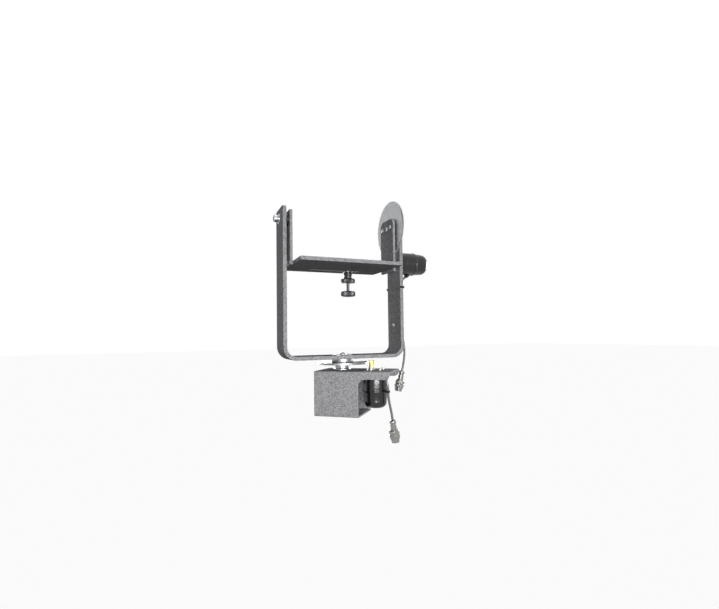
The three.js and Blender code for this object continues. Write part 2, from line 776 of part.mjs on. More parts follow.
function addBase(base) {
  addPiece(base, "base_housing", baseHousing(), paint);
  const nutZ = tubeWall + seatGap;
  const nut = prism(hexagon(mountNutFlats), nutZ, nutZ + mountNutHeight);
  const nutBore = rod(mountNutBoreRadius, 0, nutZ + mountNutHeight + cutOverrun, mediumSides);
  addPiece(base, "mount_nut", cut(nut, nutBore), steel);

  const bore = panShaftRadius + boreGap;
  addPiece(base, "pan_bearing", turned([
    [bore, bearingTopZ - bearingSleeveLength],
    [bearingSleeveRadius, bearingTopZ - bearingSleeveLength],
    [bearingSleeveRadius, tubeSide + seatGap],
    [bearingFlangeRadius, tubeSide + seatGap],
    [bearingFlangeRadius, bearingTopZ],
    [bore, bearingTopZ],
    [bore, bearingTopZ - bearingSleeveLength],
  ], mediumSides), steel);
  const ringTop = tubeSide - tubeWall - seatGap;
  const ringNut = ring(bearingNutRadius, bearingSleeveRadius + boreGap,
    ringTop - bearingNutHeight, ringTop, mediumSides);
  addPiece(base, "pan_bearing_nut", ringNut, steel);

  const bootCore = rod(bootOuter + seatGap, -tubeSide, tubeSide)
    .translate([panCentres + shaftOffset, 0, 0]);
  addPiece(base, "pan_cable_gland", gland(panCableRoute, bootCore), blackNylon);
  addPiece(base, "pan_cable", cableTube(panCableRoute), greyVinyl);
  addPiece(base, "pan_cable_tie", cableTie(panCableRoute, panTieShare), blackNylon);
}

// Yoke

const panHubScrewPlaces = around(panHubScrewCount, panHubScrewCircle, quarter / 2);

// The bent bar seen from the front.
function yokeOutline() {
  const outer = bendInnerRadius + barThickness;
  const [cornerX, cornerZ] = [armOuterX - outer, barZ + outer];
  const shape = new THREE.Shape();
  shape.moveTo(-armOuterX, armTopZ);
  shape.absarc(-cornerX, cornerZ, outer, Math.PI, 1.5 * Math.PI);
  shape.absarc(cornerX, cornerZ, outer, -quarter, 0);
  shape.lineTo(armOuterX, armTopZ);
  shape.lineTo(armInnerX, armTopZ);
  shape.absarc(cornerX, cornerZ, bendInnerRadius, 0, -quarter, true);
  shape.absarc(-cornerX, cornerZ, bendInnerRadius, -quarter, -Math.PI, true);
  shape.lineTo(-armInnerX, armTopZ);
  return shape;
}

function yokeFrame() {
  const acrossY = new THREE.Matrix4().makeRotationX(quarter);
  const bar = moved(prism(yokeOutline(), -barWidth / 2, barWidth / 2), acrossY);
  const alongX = new THREE.Matrix4().makeRotationY(quarter);
  const silhouette = roundedRectangle(2 * yokeHeight, barWidth, armEndRadius);
  const ends = moved(prism(silhouette, -yokeWidth, yokeWidth), alongX)
    .translate([0, 0, armTopZ - yokeHeight]);
  const pivotHole = moved(rod(bushSleeveRadius + boreGap, -yokeWidth, yokeWidth, mediumSides),
    alongX).translate([0, 0, tiltZ]);
  const motor = moved(motorHoles(barThickness), sidewaysMatrix)
    .translate([armOuterX, 0, tiltMotorZ]);
  const clipHole = moved(screwHole(smallScrewRadius, [0, 0], armInnerX, armOuterX), alongX)
    .translate([0, 0, clipZ]);
  const boltHole = screwHole(panBoltRadius, [0, 0], barZ, barTopZ);
  const hubHoles = panHubScrewPlaces
    .flatMap((place) => [screwHole(mediumScrewRadius, place, barZ, barTopZ), sunkSeat(place, barTopZ)]);
  return cut(bar.intersect(ends), pivotHole, motor, clipHole, boltHole, ...hubHoles);
}

// A flat gear with its centre hole and screw holes, teeth round its rim.
function gearDisc(teeth, bore, screwPlaces) {
  const disc = prism(toothedOutline(teeth, gearFlankSteps), 0, gearThickness);
  const holes = screwPlaces.map((place) => screwHole(mediumScrewRadius, place, 0, gearThickness));
  const centre = rod(bore, -cutOverrun, gearThickness + cutOverrun, mediumSides);
  return cut(disc, centre, ...holes);
}

function addPanDrive(yoke) {
  const bore = panShaftRadius + boreGap;
  const gearPlaces = around(panHubScrewCount, panHubScrewCircle, quarter / 2 + degrees(baseTurn));
  const boss = ring(panGearBossRadius, bore, -panGearBossHeight, gearThickness / 2, mediumSides);
  const gear = joined(gearDisc(panGearTeeth, bore, gearPlaces), boss);
  const gearMesh = addPiece(yoke, "pan_gear", gear, aluminium);
  gearMesh.position.z = panGearZ;
  gearMesh.rotation.z = -degrees(baseTurn);

  const hub = ring(panHubRadius, bore, 0, panHubHeight);
  const hubHoles = panHubScrewPlaces
    .map((place) => screwHole(mediumScrewRadius, place, 0, panHubHeight));
  addPiece(yoke, "pan_hub", cut(hub, ...hubHoles), aluminium).position.z = panHubZ;

  const collarTop = bearingTopZ - bearingSleeveLength - seatGap;
  const collar = ring(collarRadius, bore, -collarHeight, 0, mediumSides);
  const alongX = new THREE.Matrix4().makeRotationY(quarter);
  const setScrewHole = moved(rod(collarScrewRadius, 0, 2 * collarRadius, smallSides), alongX)
    .translate([0, 0, -collarHeight / 2]);
  addPiece(yoke, "shaft_collar", cut(collar, setScrewHole), steel).position.z = collarTop;

  const shaftTop = barZ - seatGap;
  const boltEnd = barTopZ + seatGap - panBoltLength;
  const shaftEnd = collarTop - collarHeight - panShaftTail;
  const shaft = rod(panShaftRadius, shaftEnd, shaftTop, mediumSides);
  const tap = rod(panBoltRadius + boreGap, boltEnd - seatGap, shaftTop + cutOverrun, smallSides);
  addPiece(yoke, "pan_shaft", cut(shaft, tap), steel);
  const bolt = screw(panBoltHeadRadius, panBoltHeadHeight, panBoltRadius, panBoltLength,
    mediumSides);
  addPiece(yoke, "pan_shaft_bolt", bolt, steel).position.z = barTopZ + seatGap;

  panHubScrewPlaces.forEach(([x, y], k) => {
    const fastener = sunkScrew(barTopZ - panGearZ);
    const mesh = addPiece(yoke, `pan_hub_screw_${k + 1}`, fastener, steel);
    mesh.position.set(x, y, barTopZ);
  });
}

// A bush in an arm, its collar filling the way to what turns beside it.
function pivotBush(collarEnd) {
  const collarStart = armInnerX - seatGap;
  const bore = pivotShankRadius + boreGap;
  return turned([
    [bore, collarEnd],
    [bushCollarRadius, collarEnd],
    [bushCollarRadius, collarStart],
    [bushSleeveRadius, collarStart],
    [bushSleeveRadius, armOuterX],
    [bore, armOuterX],
    [bore, collarEnd],
  ], mediumSides);
}

function addYoke(yoke) {
  addPiece(yoke, "yoke_frame", yokeFrame(), paint);
  const rightBush = addPiece(yoke, "right_tilt_bush", pivotBush(rightCollarEndX), blackNylon);
  rightBush.rotation.y = quarter;
  rightBush.position.z = tiltZ;
  const leftBush = addPiece(yoke, "left_tilt_bush", pivotBush(uprightOuterX + seatGap), blackNylon);
  leftBush.rotation.y = -quarter;
  leftBush.position.z = tiltZ;

  const bootCore = moved(rod(bootOuter + seatGap, 0, yokeWidth),
    new THREE.Matrix4().makeRotationY(quarter)).translate([0, 0, tiltMotorZ - shaftOffset]);
  addPiece(yoke, "tilt_cable_gland", gland(tiltCableRoute, bootCore), blackNylon);
  addPiece(yoke, "tilt_cable", cableTube(tiltCableRoute), greyVinyl);
  addPiece(yoke, "arm_cable_tie", armTie(), blackNylon);
  addPiece(yoke, "cable_clip", cableClip(), blackNylon);
  const grip = barThickness + 2 * seatGap + clipThickness + clipHeadHeight / 2;
  const clipScrew = screw(clipHeadRadius, clipHeadHeight, smallScrewRadius, grip);
  const clipMesh = addPiece(yoke, "clip_screw", clipScrew, steel);
  clipMesh.rotation.y = -quarter;
  clipMesh.position.set(armInnerX - seatGap, 0, clipZ);
}

// Cradle, in a frame whose origin is on the tilt axis

const trayTop = -trayDrop;
const trayMiddle = trayTop - trayThickness / 2;
const trayBottom = trayTop - trayThickness;

function cameraTray() {
  const plate = roundedRectangle(trayLength, trayDepth, trayCornerRadius);
  const slot = new THREE.Path();
  const [half, radius] = [slotLength / 2, slotWidth / 2];
  slot.moveTo(-half, slotOffset - radius);
  slot.absarc(half, slotOffset, radius, -quarter, quarter);
  slot.absarc(-half, slotOffset, radius, quarter, 3 * quarter);
  plate.holes.push(slot);
  const taps = [];
  for (const [side, spread] of [[-1, leftScrewSpread], [1, rightScrewSpread]]) {
    for (const y of [-spread, spread]) {
      const tap = rod(mediumScrewRadius + boreGap, -trayScrewDepth, trayScrewDepth, smallSides);
      const alongX = new THREE.Matrix4().makeRotationY(quarter);
      taps.push(moved(tap, alongX).translate([(side * trayLength) / 2, y, trayMiddle]));
    }
  }
  return cut(prism(plate, trayBottom, trayTop, 2 * cornerSteps), ...taps);
}

// A flat upright in the plane of Y and Z, its top corners rounded, drilled along X.
function upright(width, corner, lowZ, holes) {
  const rise = uprightRise;
  const shape = new THREE.Shape();
  shape.moveTo(-width / 2, lowZ);
  shape.lineTo(width / 2, lowZ);
  shape.absarc(width / 2 - corner, rise - corner, corner, 0, quarter);
  shape.absarc(-width / 2 + corner, rise - corner, corner, quarter, Math.PI);
  const drills = holes.map(([y, z, radius, sides]) =>
    rod(radius + boreGap, -cutOverrun, uprightThickness + cutOverrun, sides)
      .translate([y, z, 0]));
  const standing = new THREE.Matrix4().makeBasis(
    new THREE.Vector3(0, 1, 0),
    new THREE.Vector3(0, 0, 1),
    new THREE.Vector3(1, 0, 0),
  );
  return moved(cut(prism(shape, 0, uprightThickness), ...drills), standing);
}

// Shoulder bolt with a flanged round head, head up along +Z.
function pivotBolt(length) {
  const headTop = pivotFlangeHeight + pivotHeadHeight;
  const body = turned([
    [0, -length],
    [pivotShankRadius, -length],
    [pivotShankRadius, 0],
    [pivotFlangeRadius, 0],
    [pivotFlangeRadius, pivotFlangeHeight],
    [pivotHeadRadius, pivotFlangeHeight],
    [pivotHeadRadius, headTop],
    [0, headTop],
  ], mediumSides);
  return cut(body, prism(hexagon(pivotKeyFlats), headTop - pivotKeyDepth, headTop + cutOverrun));
}

function tiltGear() {
  const bore = pivotShankRadius + boreGap;
  const places = [[0, -gearScrewSpread], [0, gearScrewSpread]];
  const spacer = ring(tiltGearSpacerRadius, bore, gearThickness / 2,
    gearThickness + tiltGearSpacerHeight, mediumSides);
  const holes = places.map((place) =>
    screwHole(mediumScrewRadius, place, 0, gearThickness + tiltGearSpacerHeight));
  const hub = ring(bushCollarRadius, bore, -tiltGearHubHeight, gearThickness / 2, mediumSides);
  return joined(cut(joined(gearDisc(tiltGearTeeth, bore, places), spacer), ...holes), hub);
}

function addCradle(cradle) {
  addPiece(cradle, "camera_tray", cameraTray(), paint);
  const left = upright(leftUprightWidth, leftUprightCorner, trayBottom, [
    [0, 0, pivotShankRadius, mediumSides],
    [-leftScrewSpread, trayMiddle, mediumScrewRadius, smallSides],
    [leftScrewSpread, trayMiddle, mediumScrewRadius, smallSides],
  ]);
  addPiece(cradle, "left_upright", left, paint).position.x = -uprightOuterX;
  const right = upright(rightUprightWidth, rightUprightCorner, trayBottom - rightUprightTail, [
    [0, 0, pivotShankRadius, mediumSides],
    [-gearScrewSpread, 0, mediumScrewRadius, smallSides],
    [gearScrewSpread, 0, mediumScrewRadius, smallSides],
    [-rightScrewSpread, trayMiddle, mediumScrewRadius, smallSides],
    [rightScrewSpread, trayMiddle, mediumScrewRadius, smallSides],
  ]);
  addPiece(cradle, "right_upright", right, paint).position.x = uprightInnerX;

  const gear = addPiece(cradle, "tilt_gear", moved(tiltGear(), sidewaysMatrix), aluminium);
  gear.position.x = tiltGearInnerX + gearThickness;

  const boltReach = armOuterX + seatGap - uprightInnerX - seatGap;
  for (const [name, side] of [["left", -1], ["right", 1]]) {
    const bolt = addPiece(cradle, `${name}_pivot_bolt`, pivotBolt(boltReach), steel);
    bolt.rotation.y = side * quarter;
    bolt.position.x = side * (armOuterX + seatGap);
  }

  const screwLength = uprightThickness + trayScrewDepth;
  for (const [name, side, spread] of [["left", -1, leftScrewSpread], ["right", 1, rightScrewSpread]]) {
    [-spread, spread].forEach((y, k) => {
      const fastener = mediumScrew(screwLength);
      const mesh = addPiece(cradle, `${name}_upright_screw_${k + 1}`, fastener, steel);
      mesh.rotation.y = side * quarter;
      mesh.position.set(side * (uprightOuterX + seatGap), y, trayMiddle);
    });
  }
  [-gearScrewSpread, gearScrewSpread].forEach((y, k) => {
    const length = uprightThickness + seatGap + tiltGearSpacerHeight + gearThickness;
    const mesh = addPiece(cradle, `gear_screw_${k + 1}`, mediumScrew(length), steel);
    mesh.rotation.y = -quarter;
    mesh.position.set(uprightInnerX - seatGap, y, 0);
  });
}

// Camera screw, in a frame on its own axis at the tray's underside

function gripped(radius, low, high) {
  return prism(fluted(radius, gripFluteDepth, gripFlutes), low, high);
}

function addCameraScrew(carriage) {
  const bore = cameraScrewRadius + boreGap;
  const washerTop = -seatGap;
  const hubTop = washerTop - slotWasherHeight - seatGap;
  const wheelTop = hubTop - wheelHubHeight;
  const wheelBottom = wheelTop - wheelHeight;
  const knobTop = wheelBottom - cameraScrewStem;
  addPiece(carriage, "slot_washer",
    ring(slotWasherRadius, bore, washerTop - slotWasherHeight, washerTop, mediumSides), steel);

  const hub = rod(wheelHubRadius, wheelTop - cutOverrun, hubTop, mediumSides);
  const wheel = joined(gripped(wheelRadius, wheelBottom, wheelTop), hub);
  addPiece(carriage, "lock_wheel",
    cut(wheel, rod(bore, wheelBottom - cutOverrun, hubTop + cutOverrun, mediumSides)), blackMetal);

  const screwTop = trayThickness + cameraScrewRise;
  const screwEnd = knobTop - knobSocketDepth + seatGap;
  addPiece(carriage, "camera_screw", rod(cameraScrewRadius, screwEnd, screwTop, mediumSides), steel);

  const socket = rod(bore, knobTop - knobSocketDepth, knobTop + cutOverrun, mediumSides);
  addPiece(carriage, "camera_knob",
    cut(gripped(knobRadius, knobTop - knobHeight, knobTop), socket), blackMetal);
}

// The whole head

const head = new THREE.Group();
const base = new THREE.Group();
base.rotation.z = -degrees(baseTurn);
const yoke = new THREE.Group();
const cradle = new THREE.Group();
cradle.position.z = tiltZ;
head.add(base, yoke, cradle);

addBase(base);
const panMotor = new THREE.Group();
panMotor.position.set(panCentres, 0, tubeSide - tubeWall);
base.add(panMotor);
addMotor(panMotor, panMotor, "pan", tubeWall, panPinionFace, panPinionRise);
addPlug(base, base, "pan", panCableRoute);

addYoke(yoke);
addPanDrive(yoke);
const tiltMotor = new THREE.Group();
tiltMotor.setRotationFromMatrix(sidewaysMatrix);
tiltMotor.position.set(armOuterX, 0, tiltMotorZ);
yoke.add(tiltMotor);
addMotor(tiltMotor, tiltMotor, "tilt", barThickness, tiltPinionFace, tiltPinionRise);
addPlug(yoke, yoke, "tilt", tiltCableRoute);

addCradle(cradle);
const carriage = new THREE.Group();
carriage.position.set(cameraScrewPlace, slotOffset, trayBottom);
cradle.add(carriage);
addCameraScrew(carriage);

export default head;
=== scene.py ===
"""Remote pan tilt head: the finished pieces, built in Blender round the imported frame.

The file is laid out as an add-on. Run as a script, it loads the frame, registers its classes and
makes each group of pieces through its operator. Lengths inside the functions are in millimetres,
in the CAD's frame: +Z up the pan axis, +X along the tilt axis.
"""
import math

import bmesh
import bpy
from mathutils import Matrix, Vector


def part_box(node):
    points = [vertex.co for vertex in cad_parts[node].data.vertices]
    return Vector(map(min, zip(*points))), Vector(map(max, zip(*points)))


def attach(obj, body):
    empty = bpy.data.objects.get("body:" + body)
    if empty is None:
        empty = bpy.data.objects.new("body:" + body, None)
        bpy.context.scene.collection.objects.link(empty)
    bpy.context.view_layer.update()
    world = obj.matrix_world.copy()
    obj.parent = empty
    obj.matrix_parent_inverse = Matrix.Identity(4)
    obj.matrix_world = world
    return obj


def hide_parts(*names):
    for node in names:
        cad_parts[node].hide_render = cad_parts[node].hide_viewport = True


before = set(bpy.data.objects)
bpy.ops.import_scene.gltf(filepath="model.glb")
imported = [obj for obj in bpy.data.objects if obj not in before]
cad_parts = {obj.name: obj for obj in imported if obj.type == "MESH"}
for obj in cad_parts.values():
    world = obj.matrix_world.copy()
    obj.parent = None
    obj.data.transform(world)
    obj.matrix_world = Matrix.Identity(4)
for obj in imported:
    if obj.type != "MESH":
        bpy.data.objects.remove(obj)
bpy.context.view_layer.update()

bl_info = {
    "name": "Remote Pan Tilt Head",
    "version": (1, 0, 0),
    "blender": (4, 5, 0),
    "location": "View3D > Sidebar > Pan Tilt Head",
    "description": "Builds the painted, plated and moulded pieces of a remote pan tilt head",
    "category": "Object",
}

MM = 0.001

# The camera, measured from the straight edges of the bar and the tube in the picture
IMAGE_SIZE = (719, 609)
SENSOR_WIDTH = 36.0
FOCAL_PIXELS = 423.32
PRINCIPAL_ROW = 319.12
EYE = (-264.5, -701.5, 136.35)
CAMERA_YAW = math.radians(23.036)
CAMERA_PITCH = math.radians(2.1765)
CAMERA_ROLL = math.radians(0.742)

# Lamps: name, turn from the front and height in degrees, distance and size in metres, watts
LAMPS = (
    ("front_softbox", 1, 1, 1.5, 0.5, 2.0),
    ("left_softbox", -20, -3, 1.5, 0.5, 1.85),
    ("side_softbox", -95, 8, 1.2, 0.3, 0.3),
    ("right_softbox", 100, 8, 1.2, 0.6, 1.8),
    ("back_softbox", 170, 8, 1.2, 0.6, 1.8),
    ("top_softbox", 0, 80, 1.2, 0.6, 0.55),
)
LAMP_SPREAD = math.radians(66)
LAMP_TARGET = Vector((-0.02, 0.0, 0.15))

# The surround: the strength of its light, and the floor's depth, width and share of white
WHITE = (1.0, 1.0, 1.0, 1.0)
AMBIENT = 0.02
FLOOR_DROP = 0.8
FLOOR_SIZE = 60.0
FLOOR_WHITE = 0.96

# How finely round things are drawn, and how many spots are tried between two points of a lead
ROUND_SIDES = 64
SMALL_SIDES = 36
HOLE_SIDES = 24
KNOB_SIDES = 240
ARC_STEPS = 16
CORNER_STEPS = 3
CABLE_STEPS = 14
LEAD_SPOTS = 20

# Edges sharper than these stay sharp on most pieces, and are rounded on a bevelled one
SHARP_EDGE = math.radians(42)
BEVELLED_EDGE = math.radians(40)

# Clearances at rest, under what is seated and round what passes through a hole
SEAT_GAP = 0.3
BORE_GAP = 0.3
# Radius of the holes for the hub's, the uprights' and the gears' screws
SCREW_HOLE = 2.3
# How far a cutter reaches past what it cuts, and a length past both arms
OVERCUT = 5
PAST_ARMS = 300

# Base, in its own frame, which stands turned under the yoke
BASE_TURN = math.radians(-40)
BASE_LEFT = 38.5
BASE_RIGHT = 93.5
COLUMN_RIGHT = 40.0
LIP_HEIGHT = 13.2
BAY_FILLET = 12.0
LIP_END_RADIUS = 9.5
TUBE_WALL = 3.2
TUBE_CORNER = 2.4
SOCKET_RADIUS = 5.1
STAND_NUT_FLATS = 14.3
STAND_NUT_BORE = 4.2

# Gears
TOOTH_MODULE = 0.8
PRESSURE_ANGLE = math.radians(20)
PINION_TEETH = 16
PAN_GEAR_TEETH = 116
TILT_GEAR_TEETH = 126
TOOTH_BACKLASH = 0.12
FLANK_STEPS = 3
GEAR_THICKNESS = 3.2
GEAR_EDGE = 0.18
GEAR_SCREW_OFFSET = 16.0

# Pan shaft and its bore, its bearing and ring nut, the shaft's collar, the gear's boss and the hub
SHAFT_RADIUS = 6.35
SHAFT_BORE = 6.65
BEARING_RADIUS = 16.0
BEARING_BODY = 11.0
RING_NUT_RADIUS = 17.0
COLLAR_RADIUS = 13.0
GEAR_BOSS = 13.0
HUB_RADIUS = 19.0
HUB_SCREW_CIRCLE = 15.0

# Motors: the pinion's axis is off the middle of the motor
MOTOR_OFFSET = 7.0
MOTOR_SCREW_CIRCLE = 15.5
BOSS_RADIUS = 6.0
OUTPUT_SHAFT_RADIUS = 3.0
OUTPUT_SHAFT_START = -9
PINION_BORE = 3.3
PINION_HUB = 4.8
PINION_HUB_START = 6.0
PINION_SCREW_TURN = math.radians(-55)

# Boots, down from the wall: the ridge, the end, and the tail that is rounded into it
BOOT_RIDGE = -32.0
BOOT_END = -60.6
BOOT_TAIL = 19.0
BOOT_ROUND_END = 10.0

# Yoke
BEND_RADIUS = 16.0
ARM_END_RADIUS = 5.0
BUSH_RADIUS = 7.0
PIVOT_BORE = 4.3

# Tray's slot, and each upright's width, shoulder and distance of its screws from the middle
TRAY_CORNER = 3.0
SLOT_Y = 34.0
SLOT_HALF = 45.0
SLOT_RADIUS = 3.5
UPRIGHTS = {"left": (25.4, 4.0, 7.0), "right": (50.8, 12.0, 16.0)}

# Camera screw: bore of what turns on it, and its thread
STUD_BORE = 3.475
THREAD_PITCH = 1.27
THREAD_CREST = 3.175
THREAD_ROOT = 2.6

# Screws: head radius, head height, shank radius, width of the socket, rounding of a domed head
MOTOR_SCREW = (2.75, 3.0, 1.5, 2.5, 0.0)
CLIP_SCREW = (3.2, 1.9, 1.5, 2.5, 0.8)
BUTTON_SCREW = (3.6, 2.2, 2.0, 2.5, 0.9)
DOME_BOLT = (5.2, 4.3, 3.0, 3.2, 2.0)
# The same for a countersunk screw, which has no dome
SUNK_SCREW = (3.6, 1.8, 2.0, 2.5)
# Whole length of the dome bolt, and of a motor screw more than its wall
DOME_BOLT_LENGTH = 24.3
MOTOR_SCREW_REACH = 7.3

# Plugs, down from the lead's end
PLUG_GAP = 0.3
PLUG_CLAMP_RADIUS = 6.1
PLUG_CLAMP_LENGTH = 5.0
PLUG_SLEEVE_RADIUS = 5.2
PLUG_BARREL_RADIUS = 6.9
PLUG_NUT_START = 17.3
PLUG_NUT_LENGTH = 16.5
PLUG_NUT_RADIUS = 8.9
PLUG_NUT_FLUTES = 20
PLUG_LENGTH = 38.9
PLUG_SIDES = 48

# Glands, up from the lead's start
GLAND_LENGTH = 11.0
GLAND_ROOT = 4.6
GLAND_MOUTH = 3.1
GLAND_RIBS = 4

# The body that each lead and motor stays with
STILL_BODIES = {"pan": "base", "tilt": "yoke"}

# Where each lead runs, from its gland to its plug: the pan lead in the base's frame
PAN_ROUTE = [
    (82.2, -13.1, 60.2), (83.7, -13.4, 55.8), (84.6, -13.4, 51.3), (84.8, -13.2, 46.7),
    (84.7, -12.6, 42.1), (84.6, -11.8, 37.6), (84.7, -10.7, 33.1), (84.9, -9.6, 28.6),
    (85.3, -8.4, 24.2), (85.8, -7.1, 19.8), (86.4, -5.7, 15.4), (86.9, -4.5, 11.0),
    (87.5, -3.4, 6.5), (88.1, -2.4, 2.1), (88.5, -1.6, -2.5), (88.9, -0.9, -7.0),
]
TILT_ROUTE = [
    (127.6, -2.0, 244.6), (123.0, -3.2, 240.3), (119.3, -4.6, 234.5), (117.0, -5.9, 227.6),
    (115.6, -6.9, 219.8), (114.9, -7.6, 211.0), (114.7, -8.0, 200.667), (114.7, -8.0, 190.333),
    (114.7, -8.0, 180.0), (114.7, -8.0, 169.667), (114.7, -8.0, 159.333), (114.7, -8.0, 149.0),
    (115.7, -8.0, 138.8), (117.9, -7.8, 128.8), (119.8, -7.3, 118.8), (121.0, -6.4, 108.8),
    (121.4, -5.1, 98.8), (121.0, -3.6, 89.0), (120.0, -2.1, 79.2), (118.5, -0.8, 70.0),
]


def corners(node):
    """Lowest and highest corners of a CAD node, in millimetres."""
    low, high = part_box(node)
    return low / MM, high / MM


def lowest(node):
    """Lowest corner of a CAD node, in millimetres."""
    return corners(node)[0]


def highest(node):
    """Highest corner of a CAD node, in millimetres."""
    return corners(node)[1]


def middle(node):
    """Middle of a CAD node's box, in millimetres."""
    low, high = corners(node)
    return (low + high) / 2


def side(node, axis):
    """Length of a CAD node's box along one axis, in metres."""
    low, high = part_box(node)
    return high[axis] - low[axis]


def linear(code):
    """An sRGB colour written as six hex digits, as linear red, green and blue."""
    channels = [int(code[k:k + 2], 16) / 255 for k in (0, 2, 4)]
    return tuple(c / 12.92 if c <= 0.04045 else ((c + 0.055) / 1.055) ** 2.4 for c in channels)


# Sizes and colours that a user would change


def length_property(name, description, default):
    """A length in metres that the sidebar shows with its unit."""
    return bpy.props.FloatProperty(
        name=name, description=description, default=default, min=0.0, precision=5, unit="LENGTH",
    )


def colour_property(name, description, code):
    """A colour whose default is written in sRGB hex digits."""
    return bpy.props.FloatVectorProperty(
        name=name, description=description, default=linear(code), min=0.0, max=1.0, size=3,
        subtype="COLOR",
    )


class HeadSizes(bpy.types.PropertyGroup):
    """Sizes of the head's main pieces."""

    tube_side: length_property(
        "Base tube", "Outer side of the square tube of the base", side("base_housing", 2))
    yoke_width: length_property(
        "Yoke width", "Across the outer faces of the yoke's arms", side("yoke_frame", 0))
    yoke_height: length_property(
        "Yoke height", "Underside of the yoke's bar to the arms' ends", side("yoke_frame", 2))
    bar_width: length_property("Bar width", "Width of the yoke's flat bar", side("yoke_frame", 1))
    bar_thickness: length_property("Bar thickness", "Thickness of the yoke's flat bar", 6.35 * MM)
    tray_length: length_property(
        "Tray length", "Length of the tray between the uprights", side("camera_tray", 0))
    tray_depth: length_property(
        "Tray depth", "Depth of the tray from front to back", side("camera_tray", 1))
    cable_diameter: length_property("Lead diameter", "Outer diameter of both leads", 4.2 * MM)
    painted_edge: length_property(
        "Painted edge", "Rounding of the painted pieces' edges", 0.7 * MM)
    plated_edge: length_property(
        "Plated edge", "Chamfer on the edges of screws and turned pieces", 0.35 * MM)
    hammer_cell: length_property(
        "Hammer cell", "Width of one dimple in the hammered enamel", 1.6 * MM)
    turning_pitch: length_property(
        "Turning pitch", "Distance between the tool marks on turned pieces", 0.8 * MM)


class HeadColours(bpy.types.PropertyGroup):
    """Colours of the head's finishes."""

    enamel: colour_property("Enamel", "Ground colour of the hammered enamel", "ABABAD")
    enamel_vein: colour_property(
        "Enamel veins", "Darker colour between the dimples of the enamel", "77777A")
    zinc: colour_property("Zinc plate", "Colour of the plated steel", "B4B6B9")
    aluminium: colour_property("Aluminium", "Colour of the turned aluminium", "AEB0B2")
    brass: colour_property("Brass", "Colour of the pinions", "CCC492")
    nickel: colour_property("Nickel plate", "Colour of the plugs", "A4A4A1")
    black_oxide: colour_property("Black metal", "Colour of the camera screw's knobs", "343436")
    boot: colour_property("Boot", "Colour of the motors' boots", "0E0E0F")
    cable: colour_property("Lead", "Colour of the leads' outer sheath", "626365")
    nylon: colour_property("Nylon", "Colour of the ties, clip, glands and bushes", "0F0F10")
    insulator: colour_property("Insulator", "Colour of the insert inside a plug", "2B2926")
    floor: colour_property("Floor", "Colour of the studio floor", "909090")


def size(name):
    """One of the scene's sizes, in millimetres."""
    return getattr(bpy.context.scene.head_sizes, name) / MM


def colours():
    """The scene's colours."""
    return bpy.context.scene.head_colours


# Placing

BASE_PLACE = Matrix.Rotation(BASE_TURN, 4, "Z")
ALONG_X = Matrix.Rotation(math.pi / 2, 4, "Y")
AGAINST_X = Matrix.Rotation(-math.pi / 2, 4, "Y")
ACROSS_Y = Matrix.Rotation(math.pi / 2, 4, "X")
# X to -Z and Z to -X: the pose of what turns on the tilt axis
SIDEWAYS = Matrix(((0, 0, -1, 0), (0, -1, 0, 0), (-1, 0, 0, 0), (0, 0, 0, 1)))
# An outline drawn flat stands up across X
STANDING = Matrix(((0, 0, 1, 0), (1, 0, 0, 0), (0, 1, 0, 0), (0, 0, 0, 1)))


def shift(x, y, z):
    """A move by three lengths."""
    return Matrix.Translation((x, y, z))


def motor_place(name):
    """Frame of a motor: Z is its output shaft, with zero on the near face of the wall."""
    shaft = middle(f"{name}_motor_shaft")
    if name == "pan":
        return shift(shaft.x, shaft.y, highest("base_housing").z - TUBE_WALL) @ BASE_PLACE
    return shift(highest("yoke_frame").x, shaft.y, shaft.z) @ SIDEWAYS


def motor_wall(name):
    """Thickness of the wall that a motor hangs from."""
    return TUBE_WALL if name == "pan" else size("bar_thickness")


# Mesh work


def softened(profile, closed=False):
    """The points of a turned profile; a corner with a third number is rounded by that much."""
    points = []
    last = len(profile) - 1
    for k, (radius, height, *rounding) in enumerate(profile):
        here = Vector((radius, height))
        if not rounding or (not closed and k in (0, last)):
            points.append(here)
            continue
        back = Vector(profile[k - 1][:2]) - here
        on = Vector(profile[(k + 1) % len(profile)][:2]) - here
        reach = min(rounding[0], back.length * 0.49, on.length * 0.49)
        start, end = here + back.normalized() * reach, here + on.normalized() * reach
        for step in range(CORNER_STEPS + 1):
            share = step / CORNER_STEPS
            points.append(start.lerp(here, share).lerp(here.lerp(end, share), share))
    return points


def add_bands(bm, rings, slot):
    """Joins each ring of vertices to the next with faces; a ring may be a single point."""
    sides = max(len(ring) for ring in rings)
    for one, other in zip(rings, rings[1:]):
        for k in range(sides):
            after = (k + 1) % sides
            face = [one[k % len(one)], one[after % len(one)],
                    other[after % len(other)], other[k % len(other)]]
            bm.faces.new(list(dict.fromkeys(face))).material_index = slot


def add_turned(bm, profile, place=Matrix(), sides=ROUND_SIDES, closed=False, ripple=None, slot=0):
    """Adds a solid turned round Z from (radius, height) points; ripple may shape a radius."""
    rings = []
    for radius, height in softened(profile, closed):
        if radius < 1e-6:
            rings.append([bm.verts.new(place @ Vector((0, 0, height)))])
            continue
        ring = []
        for k in range(sides):
            angle = 2 * math.pi * k / sides
            reach = ripple(radius, height, angle) if ripple else radius
            point = Vector((reach * math.cos(angle), reach * math.sin(angle), height))
            ring.append(bm.verts.new(place @ point))
        rings.append(ring)
    if closed:
        rings.append(rings[0])
    add_bands(bm, rings, slot)


def add_ring(bm, bore, radius, low, high, bore_edge, rim_edge, place=Matrix(), sides=ROUND_SIDES):
    """Adds a flat ring with its inner and outer edges rounded."""
    add_turned(bm, [(bore, low, bore_edge), (radius, low, rim_edge), (radius, high, rim_edge),
                    (bore, high, bore_edge)], place, sides, closed=True)


